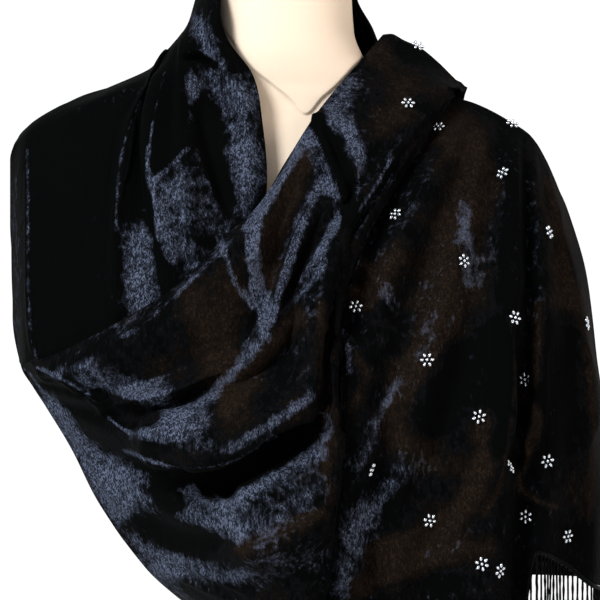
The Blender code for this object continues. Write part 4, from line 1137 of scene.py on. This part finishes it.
# Angles round the bust, six times closer together at its front than at its back.
def ringAngles(sides):
    angle = np.linspace(-math.pi, math.pi, 2001)
    closer = 1.0 + 6.0 * np.exp(-(angle / 0.45) ** 2)
    closer = np.concatenate([[0.0], np.cumsum(closer[1:] + closer[:-1])])
    return np.interp(np.linspace(0.0, closer[-1], sides, endpoint=False), closer, angle)


# Rings of the bust: |x / a|^n + |y / b|^n = 1, with the chest set back under the neck's cover.
def formSurface():
    (rings, sides), turn, neckSeam = dressForm["rounds"], dressForm["turn"], dressForm["neckSeam"]
    rows = np.array(dressForm["rows"], float)
    spread = np.cumsum(np.concatenate([[0.0], np.hypot(np.diff(rows[:, 0]), np.diff(rows[:, 1]))]))
    stations = np.linspace(0.0, 1.0, 1200)
    heights = smoothBetween(spread / spread[-1], rows[:, 0], stations)
    closer = 1.0 + 5.0 * softStep(545.0, 565.0, heights) * softStep(680.0, 660.0, heights)
    closer = np.concatenate([[0.0], np.cumsum(closer[1:] + closer[:-1])])
    heights = np.interp(np.linspace(0.0, closer[-1], rings), closer, heights)
    angle = ringAngles(sides)
    power = 2.0 / roundness
    side = np.sign(np.sin(angle)) * np.abs(np.sin(angle)) ** power
    deep = -np.sign(np.cos(angle)) * np.abs(np.cos(angle)) ** power
    x = tableCurve(dressForm, "halfWidth", heights)[:, None] * side[None]
    front = tableCurve(dressForm, "front", heights)[:, None]
    back = tableCurve(dressForm, "back", heights)[:, None]
    y = np.where(deep[None] < 0, front, back) * deep[None]
    z = np.repeat(heights[:, None], sides, axis=1)
    turnedX = x * math.cos(turn) - y * math.sin(turn)
    turnedY = y * math.cos(turn) + x * math.sin(turn)
    grid = np.stack([turnedX, turnedY, z], -1)
    facing = softStep(0.0, 12.0, -grid[..., 1])
    view = seen(grid)
    distance = fromPath(view, neckSeam["path"], 140)[0]
    aside = np.abs(view[..., 0] - viewMiddle)
    inside = 1.0 - softStep(neckSeam["halfWidth"], neckSeam["halfWidth"] + 30, aside)
    inside = inside * (1.0 - softStep(200.0, 240.0, view[..., 1])) * facing
    grid[..., 1] += neckSeam["recess"] * softStep(-neckSeam["steep"], neckSeam["steep"], distance) * inside
    crown = []
    for share, rise in dressForm["crown"]:
        ring = grid[-1].mean(axis=0) + (grid[-1] - grid[-1].mean(axis=0)) * share
        ring[:, 2] = grid[-1, 0, 2] + rise
        crown.append(ring)
    return np.concatenate([grid, np.array(crown)])


# Rings of a turned piece: radius and height of each, round one upright axis.
def lathe(profile, sides, middle):
    profile = np.array(profile, float)
    turn = np.linspace(0.0, 2 * math.pi, sides, endpoint=False)
    x = middle[0] + profile[:, 0:1] * np.sin(turn)[None]
    y = middle[1] - profile[:, 0:1] * np.cos(turn)[None]
    return np.stack([x, y, np.repeat(profile[:, 1:2], sides, axis=1)], -1)


stand = {"foot": 135, "footHeight": 16, "footEdge": 5.0, "pole": 15, "poleTop": 249.6, "middle": (0, 4)}

velvet = velvetMaterial()
cord = cordMaterial()
silver = beadMaterial()
jersey = jerseyMaterial()
paint = paintMaterial()

print("form and stand")
formGrid = formSurface()
form = ringsObject("dress_form", formGrid, jersey)
ribs = np.repeat(ringAngles(formGrid.shape[1])[None] * 190 / (2 * math.pi), formGrid.shape[0], axis=0)
setAttribute(form, "around", np.concatenate([ribs.reshape(-1), [0.0, 0.0]]))
edge, radius, height = stand["footEdge"], stand["foot"], stand["footHeight"]
roundedEdge = tuple((radius - edge + edge * math.cos(a), height - edge + edge * math.sin(a))
                    for a in np.linspace(0.15, math.pi / 2, 8))
footProfile = ((128, 0), (133, 0), (radius, 0.6), (radius, 2.0), (radius, height - edge)) + roundedEdge
footProfile = footProfile + ((126, height), (100, height), (20, height))
foot = ringsObject("stand_foot", lathe(footProfile, 128, stand["middle"]), paint)
poleProfile = tuple((stand["pole"], z) for z in (16.4, 17, 240, stand["poleTop"]))
pole = ringsObject("stand_tube", lathe(poleProfile, 64, stand["middle"]), paint)

print("stole")
rightGrid = rightShoulderSheet()
leftGrid = leftFrontSheet()
backGrid = backSheet()
swathGrid = crossSwathSheet((rightGrid, leftGrid))
endGrid = backEndSheet((backGrid,))
right = wallObject("velvet_right_shoulder", rightGrid, velvet, False)
left = wallObject("velvet_left_front", leftGrid, velvet, True)
back = wallObject("velvet_back", backGrid, velvet, True)
swath = wallObject("velvet_cross_swath", swathGrid, velvet, True)
end = wallObject("velvet_back_end", endGrid, velvet, True)
paintSheenAndShade(right, rightGrid, 1.0, rightShoulder)
paintSheenAndShade(left, leftGrid, -1.0, leftFront)
paintSheenAndShade(swath, swathGrid, -1.0, crossSwath)
paintSheenAndShade(back, backGrid * (1, -1, 1), 1.0, acrossBack)
paintSheenAndShade(end, endGrid * (1, -1, 1), 1.0, backEnd)

print("fringe and bead flowers")
frontFringe = fringeObject("cord_fringe_front", leftGrid[:, -1], -gridNormals(leftGrid)[:, -1], cord)
backFringe = fringeObject("cord_fringe_back", endGrid[-1], -gridNormals(endGrid)[-1], cord)
leftSpots = nearestPlaces(leftGrid, leftFront["flowers"])
swathSpots = nearestPlaces(swathGrid, crossSwath["flowers"])
leftFlowers = beadFlowers("flowers_left_front", leftGrid, -1.0, leftSpots, silver)
swathFlowers = beadFlowers("flowers_cross_swath", swathGrid, -1.0, swathSpots, silver)
endFlowers = beadFlowers("flowers_back_end", endGrid, -1.0, scattered(endGrid, *backEnd["flowers"]), silver)

for piece in (form, foot, pole, right, left, back, swath, end, frontFringe, backFringe,
              leftFlowers, swathFlowers, endFlowers):
    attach(piece, "root")
for piece, node, slot in (
    (form, "form_torso", "jersey"), (foot, "stand_base", "stand_paint"), (pole, "stand_pole", "stand_paint"),
    (right, "stole_right_shoulder", "velvet"), (left, "stole_left_front", "velvet"),
    (back, "stole_back", "velvet"), (swath, "stole_cross_swath", "velvet"), (end, "stole_back_end", "velvet"),
    (frontFringe, "fringe_front", "fringe_cord"), (backFringe, "fringe_back", "fringe_cord"),
):
    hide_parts(node)

print("floor, light and camera")


# A flat piece of the stage, its corners in metres.
def stageQuad(name, corners, material):
    makeObject(name, np.array(corners, float) / mm + boxMiddle, [(0, 1, 2, 3)], material, False)


# A round soft light, turned to its target.
def areaLight(name, location, target, size, power, colour):
    light = bpy.data.lights.new(name, "AREA")
    light.shape = "DISK"
    light.size = size
    light.energy = power
    light.color = colour
    made = bpy.data.objects.new(name, light)
    made.location = location
    aim = np.array(target) - np.array(location)
    flatReach = math.hypot(aim[0], aim[1])
    made.rotation_euler = (math.pi / 2 + math.atan2(aim[2], flatReach), 0.0, math.atan2(-aim[0], aim[1]))
    bpy.context.scene.collection.objects.link(made)
    return made


studio = {"floor": 1.3, "backdrop": 16, "behind": 6, "low": -3, "high": 5, "glow": 1.05, "world": 0.56}

half = studio["floor"]
floorPaint = Shader("floor", Roughness=0.9, Base_Color=(0.93, 0.93, 0.92, 1.0)).material
stageQuad("floor", [(-half, -half, 0), (half, -half, 0), (half, half, 0), (-half, half, 0)], floorPaint)
areaLight("window", (-1.25, -1.5, 1.55), (0.0, 0.0, 0.5), 0.8, 66.0, (0.93, 0.97, 1.0))
areaLight("lamp", (1.5, -0.9, 1.2), (0.0, 0.0, 0.45), 0.8, 12.0, (1.0, 0.86, 0.72))
wide, behind, bottom, top = studio["backdrop"], studio["behind"], studio["low"], studio["high"]
glow = Shader("backdrop", Base_Color=(0.0, 0.0, 0.0, 1.0), Specular_IOR_Level=0.0,
              Emission_Strength=studio["glow"], Emission_Color=(1.0, 1.0, 1.0, 1.0)).material
backCorners = [(-wide, behind, bottom), (wide, behind, bottom), (wide, behind, top), (-wide, behind, top)]
stageQuad("backdrop", backCorners, glow)
world = bpy.data.worlds.new("studio")
world.use_nodes = True
world.node_tree.nodes["Background"].inputs["Color"].default_value = (1.0, 1.0, 1.0, 1.0)
world.node_tree.nodes["Background"].inputs["Strength"].default_value = studio["world"]
bpy.context.scene.world = world
bpy.context.scene.view_settings.view_transform = "Standard"

camera = bpy.data.objects.new("camera", bpy.data.cameras.new("camera"))
camera.data.lens = 120.0
camera.data.sensor_width = 36.0
camera.location = (cameraAt - boxMiddle) * mm
camera.rotation_euler = (math.pi / 2, 0.0, 0.0)
bpy.context.scene.collection.objects.link(camera)
bpy.context.scene.camera = camera
